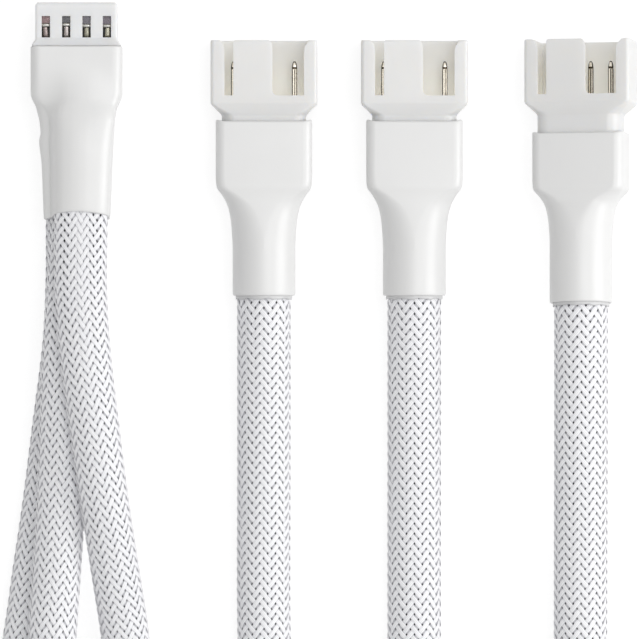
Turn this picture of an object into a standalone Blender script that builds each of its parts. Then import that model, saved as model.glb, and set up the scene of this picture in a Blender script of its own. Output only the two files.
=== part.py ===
"""Fan splitter cable: one four-contact plug feeding three shrouded pin headers over braided legs.

The cable lies on a flat surface, z = 0, with its plug pointing along +Y. The origin is under the
middle of the plug and its shrink boot. All sizes are in metres.
"""

import math

import bmesh
import bpy
from mathutils import Vector

for old in list(bpy.data.objects):
    bpy.data.objects.remove(old, do_unlink=True)

# Contacts: four on a straight row, shared by the plug and the headers.
PITCH = 0.00254
CONTACTS = ("ground", "power", "speed", "control")
PIN_SIZE = 0.00064
PIN_POINT = 0.0006
PIN_POINT_FLAT = 0.00016
GAP = 0.0003
MATE_CLEARANCE = 0.0002

# Plug housing, measured from the contact row outwards.
PLUG_SIDE_MARGIN = 0.00132
PLUG_DEPTH = 0.0046
PLUG_NOSE = 0.0056
PLUG_COLLAR = 0.0009
PLUG_COLLAR_FLARE = 0.00042
PLUG_TAIL = 0.0058
PLUG_TAIL_SETBACK = 0.00006
PLUG_FRONT_WALL = 0.00065
PLUG_CORNER = 0.0003
WINDOW_WIDTH = 0.00104
WINDOW_LENGTH = 0.00268
RIB_WIDTH = 0.001
RIB_HEIGHT = 0.0009
RIB_SETBACK = 0.0005
RIB_INSET = 0.00075
RIB_SPACING = 0.00599

# Plug terminals: a spring box in front and a crimp behind.
TERMINAL_WIDTH = 0.0013
TERMINAL_HEIGHT = 0.0028
TERMINAL_BOX = 0.0046
TERMINAL_CRIMP = 0.0045
TERMINAL_BORE_WIDTH = 0.0009
TERMINAL_BORE_HEIGHT = 0.0014
TERMINAL_BORE_DEPTH = 0.004
CRIMP_WIDTH = 0.00117
CRIMP_BELOW = 0.00126
CRIMP_ABOVE = 0.00077

# Heat-shrink boots.
BOOT_WALL = 0.00045
BOOT_LIP = 0.00018
HOST_BOOT_LENGTH = 0.0215
HOST_BOOT_STRAIGHT = 0.0061
HOST_BOOT_SHOULDER = 0.0018
HOST_BOOT_BULGE = 0.00009
HOST_NECK_TOP_WIDTH = 0.0098
HOST_NECK_RIM_WIDTH = 0.0086
HOST_RIM_ARCH = 0.001
PORT_BOOT_LENGTH = 0.0218
PORT_BOOT_STRAIGHT = 0.0079
PORT_BOOT_TAPER = 0.0056
BOOT_CORNER = 0.0024
HOST_BOOT_CORNER = 0.0011
HOST_SHOULDER_CORNER = 0.0022

# Headers: a shroud with a pocket, open slots in its face, and a tail in the boot.
PORT_SIDE_WALL = 0.00134
PORT_FACE_WALL = 0.0007
PORT_POCKET = 0.0069
PORT_FLOOR = 0.00104
PORT_CHAMFER = 0.0014
PORT_TAIL_MARGIN = 0.001465
PORT_TAIL_DEPTH = 0.0057
PORT_TAIL = 0.0078
PORT_CORNER = 0.0004
SLOT_CLEARANCE = 0.000055
SLOT_LIP = 0.00034
SLOT_CORNER = 0.0007
WING_CUT_DEEP = 0.0017
WING_CUT_WIDE = 0.0011
SLOT_CUT_WIDE = 0.00066
PIN_BELOW_RIM = 0.0026
PIN_BARREL = 0.0012
PIN_BARREL_LENGTH = 0.0056

# A header boot's taper: how far along it, and the share of the body's extra size left there.
BOOT_TAPER_SHAPE = ((0.22, 0.72), (0.55, 0.26), (1.0, 0.0))

# Wires and sleeves. A sleeve is flattened where three leave one boot, and round in a port boot.
WIRE_DIAMETER = 0.00095
WIRE_SPACING = 0.0013
CRIMP_SPACING = 0.001
WIRE_SHARES = (0.0, 0.3, 0.5, 0.7, 1.0)
LEG_SQUEEZED = 0.003
SLEEVE_HOST_DIAMETER = 0.0061
SLEEVE_PORT_DIAMETER = 0.0068
SLEEVE_GRIPPED = 0.00636
SLEEVE_COVERED_HOST = 0.0093
SLEEVE_COVERED_PORT = 0.0102
SLEEVE_SWELL = 0.047
SLEEVE_POINT_SPACING = 0.0134

# Where the wires enter a leg, in half spacings from its middle: a triangle, or a square of four.
THREE_WIRES = {"ground": (-1.0, -0.7), "power": (0.0, 1.1), "control": (1.0, -0.7)}
FOUR_WIRES = {"ground": (-1.0, 1.0), "power": (-1.0, -1.0), "speed": (1.0, -1.0), "control": (1.0, 1.0)}

# Where each header lies: x, height of its axis, roll and pitch in degrees, and how far its boot
# has slipped back. The last header shows its right side and dips its mouth.
PORTS = (
    {"x": 0.0234, "z": 0.00396, "roll": 0.0, "pitch": 0.0, "slip": 0.0, "empty": ("speed",)},
    {"x": 0.0422, "z": 0.00396, "roll": 0.0, "pitch": 0.0, "slip": 0.0, "empty": ("speed",)},
    {"x": 0.0630, "z": 0.00508, "roll": -11.0, "pitch": -4.0, "slip": 0.0010, "empty": ()},
)
PORT_MOUTH_Y = 0.00884

# Each leg's route: its centreline from inside the plug's boot to inside a header's boot.
ROUTES = (
    (
        (0.0006, -0.0042, 0.00885), (0.0006, -0.0136, 0.00885), (0.0006, -0.0215, 0.0101),
        (0.0011, -0.0295, 0.0115), (0.0024, -0.0400, 0.0121), (0.0036, -0.0490, 0.0113),
        (0.0048, -0.0570, 0.0089), (0.0061, -0.0660, 0.0058), (0.0069, -0.0760, 0.0038),
        (0.0069, -0.0900, 0.0033), (0.0063, -0.1080, 0.0033), (0.0056, -0.1280, 0.0033),
        (0.0056, -0.1460, 0.0034), (0.0094, -0.1565, 0.0034), (0.0190, -0.1608, 0.0034),
        (0.0286, -0.1565, 0.0034), (0.0325, -0.1460, 0.0035), (0.0319, -0.1300, 0.0035),
        (0.0292, -0.1130, 0.0035), (0.0259, -0.0960, 0.0035), (0.0239, -0.0800, 0.0035),
        (0.0234, -0.0640, 0.0035), (0.0234, -0.0440, 0.0036), (0.0234, -0.0240, 0.00396),
        (0.0234, -0.0128, 0.00396),
    ),
    (
        (0.0, -0.0042, 0.00555), (0.0, -0.0136, 0.00555), (-0.0004, -0.0215, 0.0061),
        (-0.0010, -0.0295, 0.0070), (-0.0015, -0.0400, 0.0080), (-0.0019, -0.0490, 0.0086),
        (-0.0024, -0.0570, 0.0088), (-0.0030, -0.0660, 0.0087), (-0.0034, -0.0760, 0.0074),
        (-0.0041, -0.0880, 0.0047), (-0.0050, -0.1000, 0.0033), (-0.0057, -0.1160, 0.0033),
        (-0.0058, -0.1320, 0.0033), (-0.0058, -0.1460, 0.0033), (-0.0040, -0.1552, 0.0033),
        (0.0012, -0.1630, 0.0034), (0.0090, -0.1682, 0.0034), (0.0182, -0.1700, 0.0034),
        (0.0274, -0.1682, 0.0034), (0.0352, -0.1630, 0.0034), (0.0404, -0.1552, 0.0035),
        (0.0422, -0.1460, 0.0035), (0.0424, -0.1280, 0.0035), (0.0424, -0.1080, 0.0035),
        (0.0423, -0.0860, 0.0035), (0.0422, -0.0640, 0.0035), (0.0422, -0.0440, 0.0036),
        (0.0422, -0.0240, 0.00396), (0.0422, -0.0128, 0.00396),
    ),
    (
        (-0.0006, -0.0042, 0.00225), (-0.0006, -0.0136, 0.00225), (-0.0007, -0.0215, 0.0022),
        (-0.0012, -0.0295, 0.0024), (-0.0026, -0.0400, 0.0027), (-0.0038, -0.0490, 0.0030),
        (-0.0050, -0.0570, 0.0032), (-0.0063, -0.0660, 0.0033), (-0.0082, -0.0760, 0.0033),
        (-0.0107, -0.0880, 0.0033), (-0.0126, -0.1010, 0.0033), (-0.0134, -0.1150, 0.0033),
        (-0.0134, -0.1300, 0.0033), (-0.0133, -0.1450, 0.0033), (-0.0104, -0.1596, 0.0033),
        (-0.0022, -0.1720, 0.0034), (0.0102, -0.1803, 0.0034), (0.0248, -0.1832, 0.0034),
        (0.0395, -0.1803, 0.0034), (0.0519, -0.1720, 0.0034), (0.0601, -0.1596, 0.0035),
        (0.0630, -0.1450, 0.0035), (0.0631, -0.1270, 0.0035), (0.0631, -0.1080, 0.0035),
        (0.0630, -0.0900, 0.0035), (0.0630, -0.0740, 0.0037), (0.0630, -0.0600, 0.0048),
        (0.0630, -0.0480, 0.0062), (0.0630, -0.0370, 0.0070), (0.0630, -0.0248, 0.00682),
        (0.0630, -0.0136, 0.00603),
    ),
)

# Sizes that follow from the ones above.
CONTACT_X = tuple((i - 1.5) * PITCH for i in range(len(CONTACTS)))
PLUG_WIDTH = 3 * PITCH + 2 * PLUG_SIDE_MARGIN
CHANNEL_WIDTH = TERMINAL_WIDTH + 2 * GAP
CHANNEL_HEIGHT = TERMINAL_HEIGHT + 2 * GAP
PLUG_FRONT_Y = (PLUG_NOSE + HOST_BOOT_LENGTH) / 2
HOST_BOOT_Y = PLUG_FRONT_Y - PLUG_NOSE
PLUG_COLLAR_Y = HOST_BOOT_Y + GAP
HOST_STACK_HALF = (3 * LEG_SQUEEZED + 4 * GAP) / 2
HOST_NECK_HALF_DEPTH = HOST_STACK_HALF + BOOT_WALL
PLUG_AXIS_Z = HOST_NECK_HALF_DEPTH
PLUG_TAIL_HALF = PLUG_WIDTH / 2 - PLUG_TAIL_SETBACK
POCKET_WIDTH = PLUG_WIDTH + 2 * MATE_CLEARANCE
POCKET_DEPTH = PLUG_DEPTH + 2 * MATE_CLEARANCE
PORT_WIDTH = POCKET_WIDTH + 2 * PORT_SIDE_WALL
PORT_DEPTH = POCKET_DEPTH + 2 * PORT_FACE_WALL
PORT_TAIL_WIDTH = 3 * PITCH + 2 * PORT_TAIL_MARGIN
POCKET_FLOOR_Y = PORT_MOUTH_Y - PORT_POCKET
PORT_BODY_Y = POCKET_FLOOR_Y - PORT_FLOOR
PORT_NECK_Y = PORT_BODY_Y - PORT_CHAMFER
PORT_TAIL_Y = PORT_NECK_Y - PORT_TAIL
PORT_BOOT_Y = PORT_NECK_Y - 2 * GAP
PORT_NECK_RADIUS = SLEEVE_GRIPPED / 2 + GAP + BOOT_WALL
RIB_X = (RIB_INSET - PLUG_WIDTH / 2, RIB_INSET - PLUG_WIDTH / 2 + RIB_SPACING)
BARREL_TOP_Y = PORT_NECK_Y - GAP
BARREL_END_Y = BARREL_TOP_Y - PIN_BARREL_LENGTH

CORNER_STEPS = 4
BOOT_CORNER_STEPS = 5
ROUTE_STEPS = 24
OVERRUN = 0.001


def material(name, colour, roughness, metallic=0.0):
    """One plain finish for a piece."""
    made = bpy.data.materials.new(name)
    made.use_nodes = True
    shader = made.node_tree.nodes["Principled BSDF"]
    shader.inputs["Base Color"].default_value = (*colour, 1.0)
    shader.inputs["Roughness"].default_value = roughness
    shader.inputs["Metallic"].default_value = metallic
    return made


HOUSING_PLASTIC = ("housing_plastic", (0.86, 0.86, 0.85), 0.3, 0.0)
SHRINK_PLASTIC = ("shrink_plastic", (0.88, 0.88, 0.87), 0.4, 0.0)
BRAID_YARN = ("braid_yarn", (0.84, 0.85, 0.88), 0.6, 0.0)
WIRE_PLASTIC = ("wire_plastic", (0.02, 0.02, 0.022), 0.45, 0.0)
PIN_METAL = ("pin_metal", (0.72, 0.66, 0.52), 0.22, 1.0)
TERMINAL_METAL = ("terminal_metal", (0.6, 0.6, 0.56), 0.3, 1.0)


def finish(piece, finish_values, parent=None, smooth=False):
    """Give a new object its own material, its parent and its shading."""
    label, colour, roughness, metallic = finish_values
    made = material(f"{piece.name}_{label}", colour, roughness, metallic)
    piece.data.materials.append(made)
    piece.parent = parent
    if smooth:
        piece.data.shade_smooth()
        piece.data.set_sharp_from_angle(angle=math.radians(35))
    return piece


def mesh_object(name, bm):
    mesh = bpy.data.meshes.new(name)
    bmesh.ops.recalc_face_normals(bm, faces=bm.faces)
    bm.to_mesh(mesh)
    bm.free()
    made = bpy.data.objects.new(name, mesh)
    bpy.context.scene.collection.objects.link(made)
    return made


def ring(y, half_width, half_depth, corner, steps=CORNER_STEPS, arch=0.0):
    """A rounded rectangle across the axis. The arch draws its upper and lower edges forward."""
    corner = min(corner, half_width, half_depth)
    points = []
    centres = ((1, 1), (-1, 1), (-1, -1), (1, -1))
    for quarter, (sx, sz) in enumerate(centres):
        for step in range(steps + 1):
            angle = math.pi / 2 * (quarter + step / steps)
            x = sx * (half_width - corner) + corner * math.cos(angle)
            z = sz * (half_depth - corner) + corner * math.sin(angle)
            points.append(Vector((x, y + arch * math.sin(angle) ** 2, z)))
    return points


def add_loft(bm, rings, capped=True):
    """Join rings of equal count into a skin, closed by a face at each end if it is capped."""
    loops = [[bm.verts.new(point) for point in points] for points in rings]
    for first, second in zip(loops, loops[1:]):
        for i in range(len(first)):
            j = (i + 1) % len(first)
            bm.faces.new((first[i], first[j], second[j], second[i]))
    if capped:
        bm.faces.new(loops[0])
        bm.faces.new(reversed(loops[-1]))
    return loops


def solid_loft(name, rings):
    bm = bmesh.new()
    add_loft(bm, rings)
    return mesh_object(name, bm)


def shell_loft(name, outer, inner):
    """A tube with a wall: the outer rings, then back along the inner ones."""
    bm = bmesh.new()
    add_loft(bm, [*outer, *reversed(inner), outer[0]], capped=False)
    bmesh.ops.remove_doubles(bm, verts=bm.verts, dist=1e-7)
    return mesh_object(name, bm)


def add_box(bm, low, high):
    corners = [
        bm.verts.new((x, y, z))
        for x in (low[0], high[0])
        for y in (low[1], high[1])
        for z in (low[2], high[2])
    ]
    for face in ((0, 1, 3, 2), (4, 6, 7, 5), (0, 4, 5, 1), (2, 3, 7, 6), (0, 2, 6, 4), (1, 5, 7, 3)):
        bm.faces.new([corners[i] for i in face])


def add_prism(bm, outline, low_z, high_z):
    """An outline in x and y, extruded in z."""
    bottom = [bm.verts.new((x, y, low_z)) for x, y in outline]
    top = [bm.verts.new((x, y, high_z)) for x, y in outline]
    bm.faces.new(reversed(bottom))
    bm.faces.new(top)
    for i in range(len(outline)):
        j = (i + 1) % len(outline)
        bm.faces.new((bottom[i], bottom[j], top[j], top[i]))


def tool(piece, label, bm, operation="DIFFERENCE"):
    """Cut a piece with the shapes in bm, or join them to it."""
    cutter = mesh_object(f"{piece.name}_{label}", bm)
    cutter.parent = piece
    cutter.hide_render = True
    cutter.display_type = "WIRE"
    step = piece.modifiers.new(label, "BOOLEAN")
    step.operation = operation
    step.solver = "EXACT"
    step.object = cutter


def plug_housing(parent):
    """The female housing: nose, flared collar and tail, with a channel for each terminal."""
    half_width, half_depth = PLUG_WIDTH / 2, PLUG_DEPTH / 2
    flare_width, flare_depth = half_width + PLUG_COLLAR_FLARE, half_depth + PLUG_COLLAR_FLARE
    collar_top = PLUG_COLLAR_Y + PLUG_COLLAR
    tail_end = PLUG_COLLAR_Y - PLUG_TAIL
    housing = solid_loft("plug_housing", [
        ring(PLUG_FRONT_Y, half_width - PLUG_CORNER, half_depth - PLUG_CORNER, PLUG_CORNER),
        ring(PLUG_FRONT_Y - PLUG_CORNER, half_width, half_depth, PLUG_CORNER),
        ring(collar_top, half_width, half_depth, PLUG_CORNER),
        ring(PLUG_COLLAR_Y, flare_width, flare_depth, PLUG_CORNER),
        ring(PLUG_COLLAR_Y, PLUG_TAIL_HALF, half_depth, PLUG_CORNER),
        ring(tail_end, PLUG_TAIL_HALF, half_depth, PLUG_CORNER),
    ])
    ribs = bmesh.new()
    for x in RIB_X:
        low = (x - RIB_WIDTH / 2, collar_top - PLUG_COLLAR / 2, -half_depth - RIB_HEIGHT)
        high = (x + RIB_WIDTH / 2, PLUG_FRONT_Y - RIB_SETBACK, -half_depth + PLUG_CORNER)
        add_box(ribs, low, high)
    tool(housing, "ribs", ribs, "UNION")
    channels, sockets, windows = bmesh.new(), bmesh.new(), bmesh.new()
    channel_front = PLUG_FRONT_Y - PLUG_FRONT_WALL
    socket = PIN_SIZE / 2 + GAP
    for x in CONTACT_X:
        channel = (CHANNEL_WIDTH / 2, CHANNEL_HEIGHT / 2)
        add_box(channels, (x - channel[0], tail_end - OVERRUN, -channel[1]),
                (x + channel[0], channel_front, channel[1]))
        add_box(sockets, (x - socket, channel_front - OVERRUN, -socket),
                (x + socket, PLUG_FRONT_Y + OVERRUN, socket))
        add_box(windows, (x - WINDOW_WIDTH / 2, collar_top, 0),
                (x + WINDOW_WIDTH / 2, collar_top + WINDOW_LENGTH, half_depth + OVERRUN))
    tool(housing, "channels", channels)
    tool(housing, "sockets", sockets)
    tool(housing, "windows", windows)
    return finish(housing, HOUSING_PLASTIC, parent)


def plug_terminal(label, x, parent):
    """A crimp terminal: a spring box that takes a pin, and a crimp that holds the wires."""
    front = PLUG_FRONT_Y - PLUG_FRONT_WALL - GAP
    half_width, half_height = TERMINAL_WIDTH / 2, TERMINAL_HEIGHT / 2
    body = bmesh.new()
    add_box(body, (-half_width, front - TERMINAL_BOX, -half_height), (half_width, front, half_height))
    terminal = mesh_object(f"plug_terminal_{label}", body)
    terminal.location.x = x
    crimp = bmesh.new()
    crimp_low = (-CRIMP_WIDTH / 2, front - TERMINAL_BOX - TERMINAL_CRIMP, -CRIMP_BELOW)
    add_box(crimp, crimp_low, (CRIMP_WIDTH / 2, front - TERMINAL_BOX + GAP, CRIMP_ABOVE))
    tool(terminal, "crimp", crimp, "UNION")
    bore = bmesh.new()
    bore_half = (TERMINAL_BORE_WIDTH / 2, TERMINAL_BORE_HEIGHT / 2)
    add_box(bore, (-bore_half[0], front - TERMINAL_BORE_DEPTH, -bore_half[1]),
            (bore_half[0], front + OVERRUN, bore_half[1]))
    tool(terminal, "bore", bore)
    return finish(terminal, TERMINAL_METAL, parent)


def host_boot(parent):
    """The shrink boot that runs from the plug's collar over three stacked sleeves."""
    body_half = PLUG_TAIL_HALF + GAP + BOOT_WALL
    body_depth = PLUG_DEPTH / 2 + GAP + BOOT_WALL
    straight_end = HOST_BOOT_Y - HOST_BOOT_STRAIGHT
    shoulder_end = straight_end - HOST_BOOT_SHOULDER
    rim = HOST_BOOT_Y - HOST_BOOT_LENGTH
    neck_start = rim + SLEEVE_COVERED_HOST
    top_half, rim_half = HOST_NECK_TOP_WIDTH / 2, HOST_NECK_RIM_WIDTH / 2
    middle_half = (top_half + rim_half) / 2
    deep = HOST_NECK_HALF_DEPTH
    part_deep = (body_depth + deep) / 2
    stations = (
        (HOST_BOOT_Y, body_half - BOOT_LIP, body_depth - BOOT_LIP, HOST_BOOT_CORNER, 0),
        (HOST_BOOT_Y - BOOT_WALL, body_half, body_depth, HOST_BOOT_CORNER, 0),
        (straight_end, body_half, body_depth + HOST_BOOT_BULGE, HOST_BOOT_CORNER, 0),
        (shoulder_end, top_half, part_deep, HOST_SHOULDER_CORNER, 0),
        (neck_start, middle_half, deep, middle_half, 0),
        ((neck_start + rim) / 2, middle_half, deep, middle_half, 0),
        (rim, rim_half, deep, rim_half, HOST_RIM_ARCH),
    )
    steps = BOOT_CORNER_STEPS
    outer = [ring(y, w, d, c, steps, a) for y, w, d, c, a in stations]
    wall = BOOT_WALL
    inner = [ring(y, min(w, body_half) - wall, d - wall, max(c - wall, wall), steps, a)
             for y, w, d, c, a in stations[1:]]
    inner.insert(0, ring(HOST_BOOT_Y, body_half - wall, body_depth - wall, HOST_BOOT_CORNER - wall, steps))
    boot = shell_loft("plug_boot", outer, inner)
    return finish(boot, SHRINK_PLASTIC, parent, smooth=True)


def port_housing(name, parent):
    """A male shroud: a pocket around the pins, with a slot and a wide opening in its face."""
    half_width, half_depth = PORT_WIDTH / 2, PORT_DEPTH / 2
    tail_width, tail_depth = PORT_TAIL_WIDTH / 2, PORT_TAIL_DEPTH / 2
    tail_corner = BOOT_CORNER - BOOT_WALL - GAP
    housing = solid_loft(name, [
        ring(PORT_MOUTH_Y, half_width, half_depth, PORT_CORNER),
        ring(PORT_BODY_Y, half_width, half_depth, PORT_CORNER),
        ring(PORT_NECK_Y, tail_width, tail_depth, tail_corner),
        ring(PORT_TAIL_Y, tail_width, tail_depth, tail_corner),
    ])
    pocket = bmesh.new()
    add_box(pocket, (-POCKET_WIDTH / 2, POCKET_FLOOR_Y, -POCKET_DEPTH / 2),
            (POCKET_WIDTH / 2, PORT_MOUTH_Y + OVERRUN, POCKET_DEPTH / 2))
    tool(housing, "pocket", pocket)
    above = PORT_MOUTH_Y + OVERRUN
    wing_turn = PORT_MOUTH_Y - WING_CUT_DEEP
    rise = (above - wing_turn) / WING_CUT_DEEP
    slot_left = RIB_X[0] - RIB_WIDTH / 2 - SLOT_CLEARANCE
    slot_right = RIB_X[0] + RIB_WIDTH / 2 + SLOT_CLEARANCE
    open_left = RIB_X[1] - RIB_WIDTH / 2 - SLOT_CLEARANCE
    open_right = POCKET_WIDTH / 2 - SLOT_LIP
    corner = [
        (open_left + SLOT_CORNER * (1 - math.cos(a)), POCKET_FLOOR_Y + SLOT_CORNER * (1 - math.sin(a)))
        for a in (math.pi / 2 * i / CORNER_STEPS for i in range(CORNER_STEPS + 1))
    ]
    slots = bmesh.new()
    low_z, high_z = POCKET_DEPTH / 2 - PORT_FACE_WALL / 2, half_depth + OVERRUN
    add_prism(slots, [
        (slot_left, POCKET_FLOOR_Y), (slot_right, POCKET_FLOOR_Y), (slot_right, above),
        (slot_left - SLOT_CUT_WIDE * rise, above), (slot_left, wing_turn),
    ], low_z, high_z)
    add_prism(slots, [
        (open_left, above), *corner, (open_right, POCKET_FLOOR_Y), (open_right, wing_turn),
        (open_right + WING_CUT_WIDE * rise, above),
    ], low_z, high_z)
    tool(housing, "slots", slots)
    holes, bores = bmesh.new(), bmesh.new()
    hole, bore = PIN_SIZE / 2 + GAP, PIN_BARREL / 2 + GAP
    for x in CONTACT_X:
        add_box(holes, (x - hole, PORT_NECK_Y - OVERRUN, -hole), (x + hole, POCKET_FLOOR_Y + OVERRUN, hole))
        add_box(bores, (x - bore, PORT_TAIL_Y - OVERRUN, -bore), (x + bore, PORT_NECK_Y, bore))
    tool(housing, "pin_holes", holes)
    tool(housing, "wire_bores", bores)
    return finish(housing, HOUSING_PLASTIC, parent)


def square(y, half):
    return [Vector((x * half, y, z * half)) for x, z in ((1, 1), (-1, 1), (-1, -1), (1, -1))]


def port_pin(name, x, parent):
    """A square pin with a blunt point, and the barrel behind its shoulder that takes the wire."""
    tip = PORT_MOUTH_Y - PIN_BELOW_RIM
    pin = solid_loft(name, [
        square(tip, PIN_POINT_FLAT / 2),
        square(tip - PIN_POINT, PIN_SIZE / 2),
        square(BARREL_TOP_Y, PIN_SIZE / 2),
        square(BARREL_TOP_Y, PIN_BARREL / 2),
        square(BARREL_END_Y, PIN_BARREL / 2),
    ])
    pin.location.x = x
    return finish(pin, PIN_METAL, parent)


def port_boot(name, slip, parent):
    """A shrink boot: a flat body over the shroud's tail, tapering to a round neck on the sleeve."""
    half_width = PORT_TAIL_WIDTH / 2 + GAP + BOOT_WALL
    half_depth = PORT_TAIL_DEPTH / 2 + GAP + BOOT_WALL
    neck = PORT_NECK_RADIUS
    front = PORT_BOOT_Y - slip
    straight_end = front - PORT_BOOT_STRAIGHT
    taper_end = straight_end - PORT_BOOT_TAPER
    rim = front - PORT_BOOT_LENGTH
    stations = [
        (front, half_width - BOOT_LIP, half_depth - BOOT_LIP, BOOT_CORNER),
        (front - BOOT_WALL, half_width, half_depth, BOOT_CORNER),
        (straight_end, half_width, half_depth, BOOT_CORNER),
    ]
    for along, share in BOOT_TAPER_SHAPE:
        width = neck + (half_width - neck) * share
        depth = neck + (half_depth - neck) * share
        corner = neck + (BOOT_CORNER - neck) * share
        stations.append((straight_end + (taper_end - straight_end) * along, width, depth, corner))
    stations.append((rim, neck, neck, neck))
    steps = BOOT_CORNER_STEPS
    outer = [ring(y, w, d, c, steps) for y, w, d, c in stations]
    wall = BOOT_WALL
    inner = [ring(y, w - wall, d - wall, c - wall, steps) for y, w, d, c in stations[1:]]
    inner.insert(0, ring(front, half_width - wall, half_depth - wall, BOOT_CORNER - wall, steps))
    boot = shell_loft(name, outer, inner)
    return finish(boot, SHRINK_PLASTIC, parent, smooth=True)


def curve_object(name, points, depth, sides_step, radii=None):
    """A round tube along points, with closed ends."""
    curve = bpy.data.curves.new(name, "CURVE")
    curve.dimensions = "3D"
    curve.bevel_depth = depth
    curve.bevel_resolution = sides_step
    curve.use_fill_caps = True
    spline = curve.splines.new("POLY")
    spline.points.add(len(points) - 1)
    for i, (point, place) in enumerate(zip(spline.points, points)):
        point.co = (*place, 1.0)
        point.radius = radii[i] / depth if radii else 1.0
    spline.use_smooth = True
    made = bpy.data.objects.new(name, curve)
    bpy.context.scene.collection.objects.link(made)
    return made


def smooth_route(route):
    """One smooth curve through the route's own points, and the distance along it to each point."""
    points = [Vector(p) for p in route]
    ends = [2 * points[0] - points[1], *points, 2 * points[-1] - points[-2]]
    fine = []
    for before, start, end, after in zip(ends, ends[1:], ends[2:], ends[3:]):
        for step in range(ROUTE_STEPS):
            t = step / ROUTE_STEPS
            out = (end - before) / 2
            into = (after - start) / 2
            fine.append(
                start * (2 * t**3 - 3 * t**2 + 1) + out * (t**3 - 2 * t**2 + t)
                + end * (3 * t**2 - 2 * t**3) + into * (t**3 - t**2)
            )
    fine.append(points[-1])
    along = [0.0]
    for a, b in zip(fine, fine[1:]):
        along.append(along[-1] + (b - a).length)
    return fine, along


def place_along(fine, along, target):
    """The point of a fine curve at a distance along it."""
    i = 0
    while i < len(fine) - 2 and along[i + 1] < target:
        i += 1
    share = (target - along[i]) / (along[i + 1] - along[i])
    return fine[i].lerp(fine[i + 1], share)


def ease(value):
    value = min(1.0, max(0.0, value))
    return value * value * (3 - 2 * value)


def sleeve_radius(along, length):
    """Half the sleeve's thickness at a distance along its leg."""
    swell = ease((along - SLEEVE_COVERED_HOST) / SLEEVE_SWELL)
    free = SLEEVE_HOST_DIAMETER + (SLEEVE_PORT_DIAMETER - SLEEVE_HOST_DIAMETER) * ease(along / length)
    thick = LEG_SQUEEZED + (free - LEG_SQUEEZED) * swell
    grip = ease((length - along - SLEEVE_COVERED_PORT) / SLEEVE_PORT_DIAMETER)
    return (SLEEVE_GRIPPED + (thick - SLEEVE_GRIPPED) * grip) / 2


def leg_sleeve(name, route):
    """A leg's braided sleeve, with a point at each boot's rim and an even spacing between them."""
    fine, along = smooth_route(route)
    length = along[-1]
    free_start, free_end = SLEEVE_COVERED_HOST, length - SLEEVE_COVERED_PORT
    count = round((free_end - free_start) / SLEEVE_POINT_SPACING)
    places = [free_start + (free_end - free_start) * i / count for i in range(count + 1)]
    places = [0.0, *places, length]
    points = [place_along(fine, along, place) for place in places]
    radii = [sleeve_radius(place, length) for place in places]
    sleeve = curve_object(name, points, SLEEVE_PORT_DIAMETER / 2, 3, radii)
    return finish(sleeve, BRAID_YARN)


def wire(name, start, end, parent):
    """One insulated wire, straight at both ends and eased across between them."""
    points = []
    for share in WIRE_SHARES:
        y = start[1] + (end[1] - start[1]) * share
        across = ease(share)
        x = start[0] + (end[0] - start[0]) * across
        z = start[2] + (end[2] - start[2]) * across
        points.append((x, y, z))
    return finish(curve_object(name, points, WIRE_DIAMETER / 2, 1), WIRE_PLASTIC, parent)


def plug():
    """The plug end: housing, terminals, boot and the wires that fan from four contacts to three legs."""
    frame = bpy.data.objects.new("plug", None)
    frame.location.z = PLUG_AXIS_Z
    bpy.context.scene.collection.objects.link(frame)
    plug_housing(frame)
    host_boot(frame)
    for label, x in zip(CONTACTS, CONTACT_X):
        plug_terminal(label, x, frame)
    wire_start = PLUG_FRONT_Y - PLUG_FRONT_WALL - GAP - TERMINAL_BOX - TERMINAL_CRIMP - GAP
    half = WIRE_SPACING / 2
    for number, (port, route) in enumerate(zip(PORTS, ROUTES), 1):
        layout = THREE_WIRES if port["empty"] else FOUR_WIRES
        leg_x, leg_y, leg_z = route[0]
        level = (1, 0, -1)[number - 1]
        for label, x in zip(CONTACTS, CONTACT_X):
            if label in port["empty"]:
                continue
            across, up = layout[label]
            start = (x, wire_start, level * CRIMP_SPACING)
            end = (leg_x + across * half, leg_y + GAP, leg_z - PLUG_AXIS_Z + up * half)
            wire(f"plug_wire_{label}_{number}", start, end, frame)


def fan_port(number, port):
    """One header: shroud, pins, boot, and the wires between its pins and its sleeve."""
    name = f"fan_port_{number}"
    frame = bpy.data.objects.new(name, None)
    frame.location = (port["x"], 0.0, port["z"])
    frame.rotation_mode = "YXZ"
    frame.rotation_euler = (math.radians(port["pitch"]), math.radians(port["roll"]), 0.0)
    bpy.context.scene.collection.objects.link(frame)
    port_housing(f"{name}_housing", frame)
    port_boot(f"{name}_boot", port["slip"], frame)
    sleeve_end = PORT_BOOT_Y - port["slip"] - PORT_BOOT_LENGTH + SLEEVE_COVERED_PORT
    for i, (label, x) in enumerate(zip(CONTACTS, CONTACT_X)):
        if label in port["empty"]:
            continue
        port_pin(f"{name}_pin_{label}", x, frame)
        start = (x, BARREL_END_Y - GAP, 0.0)
        end = ((i - 1.5) * WIRE_SPACING, sleeve_end + 2 * GAP, 0.0)
        wire(f"{name}_wire_{label}", start, end, frame)


def main():
    plug()
    for number, (port, route) in enumerate(zip(PORTS, ROUTES), 1):
        fan_port(number, port)
        leg_sleeve(f"leg_sleeve_{number}", route)


main()
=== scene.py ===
"""The looks of the fan splitter cable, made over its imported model.

Sizes are in metres unless a name says otherwise. +Y is the way the plug and the headers point, and
the cable lies on z = 0.
"""

import math

import bmesh
import bpy
import numpy as np
from mathutils import Euler, Matrix, Vector


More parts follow.
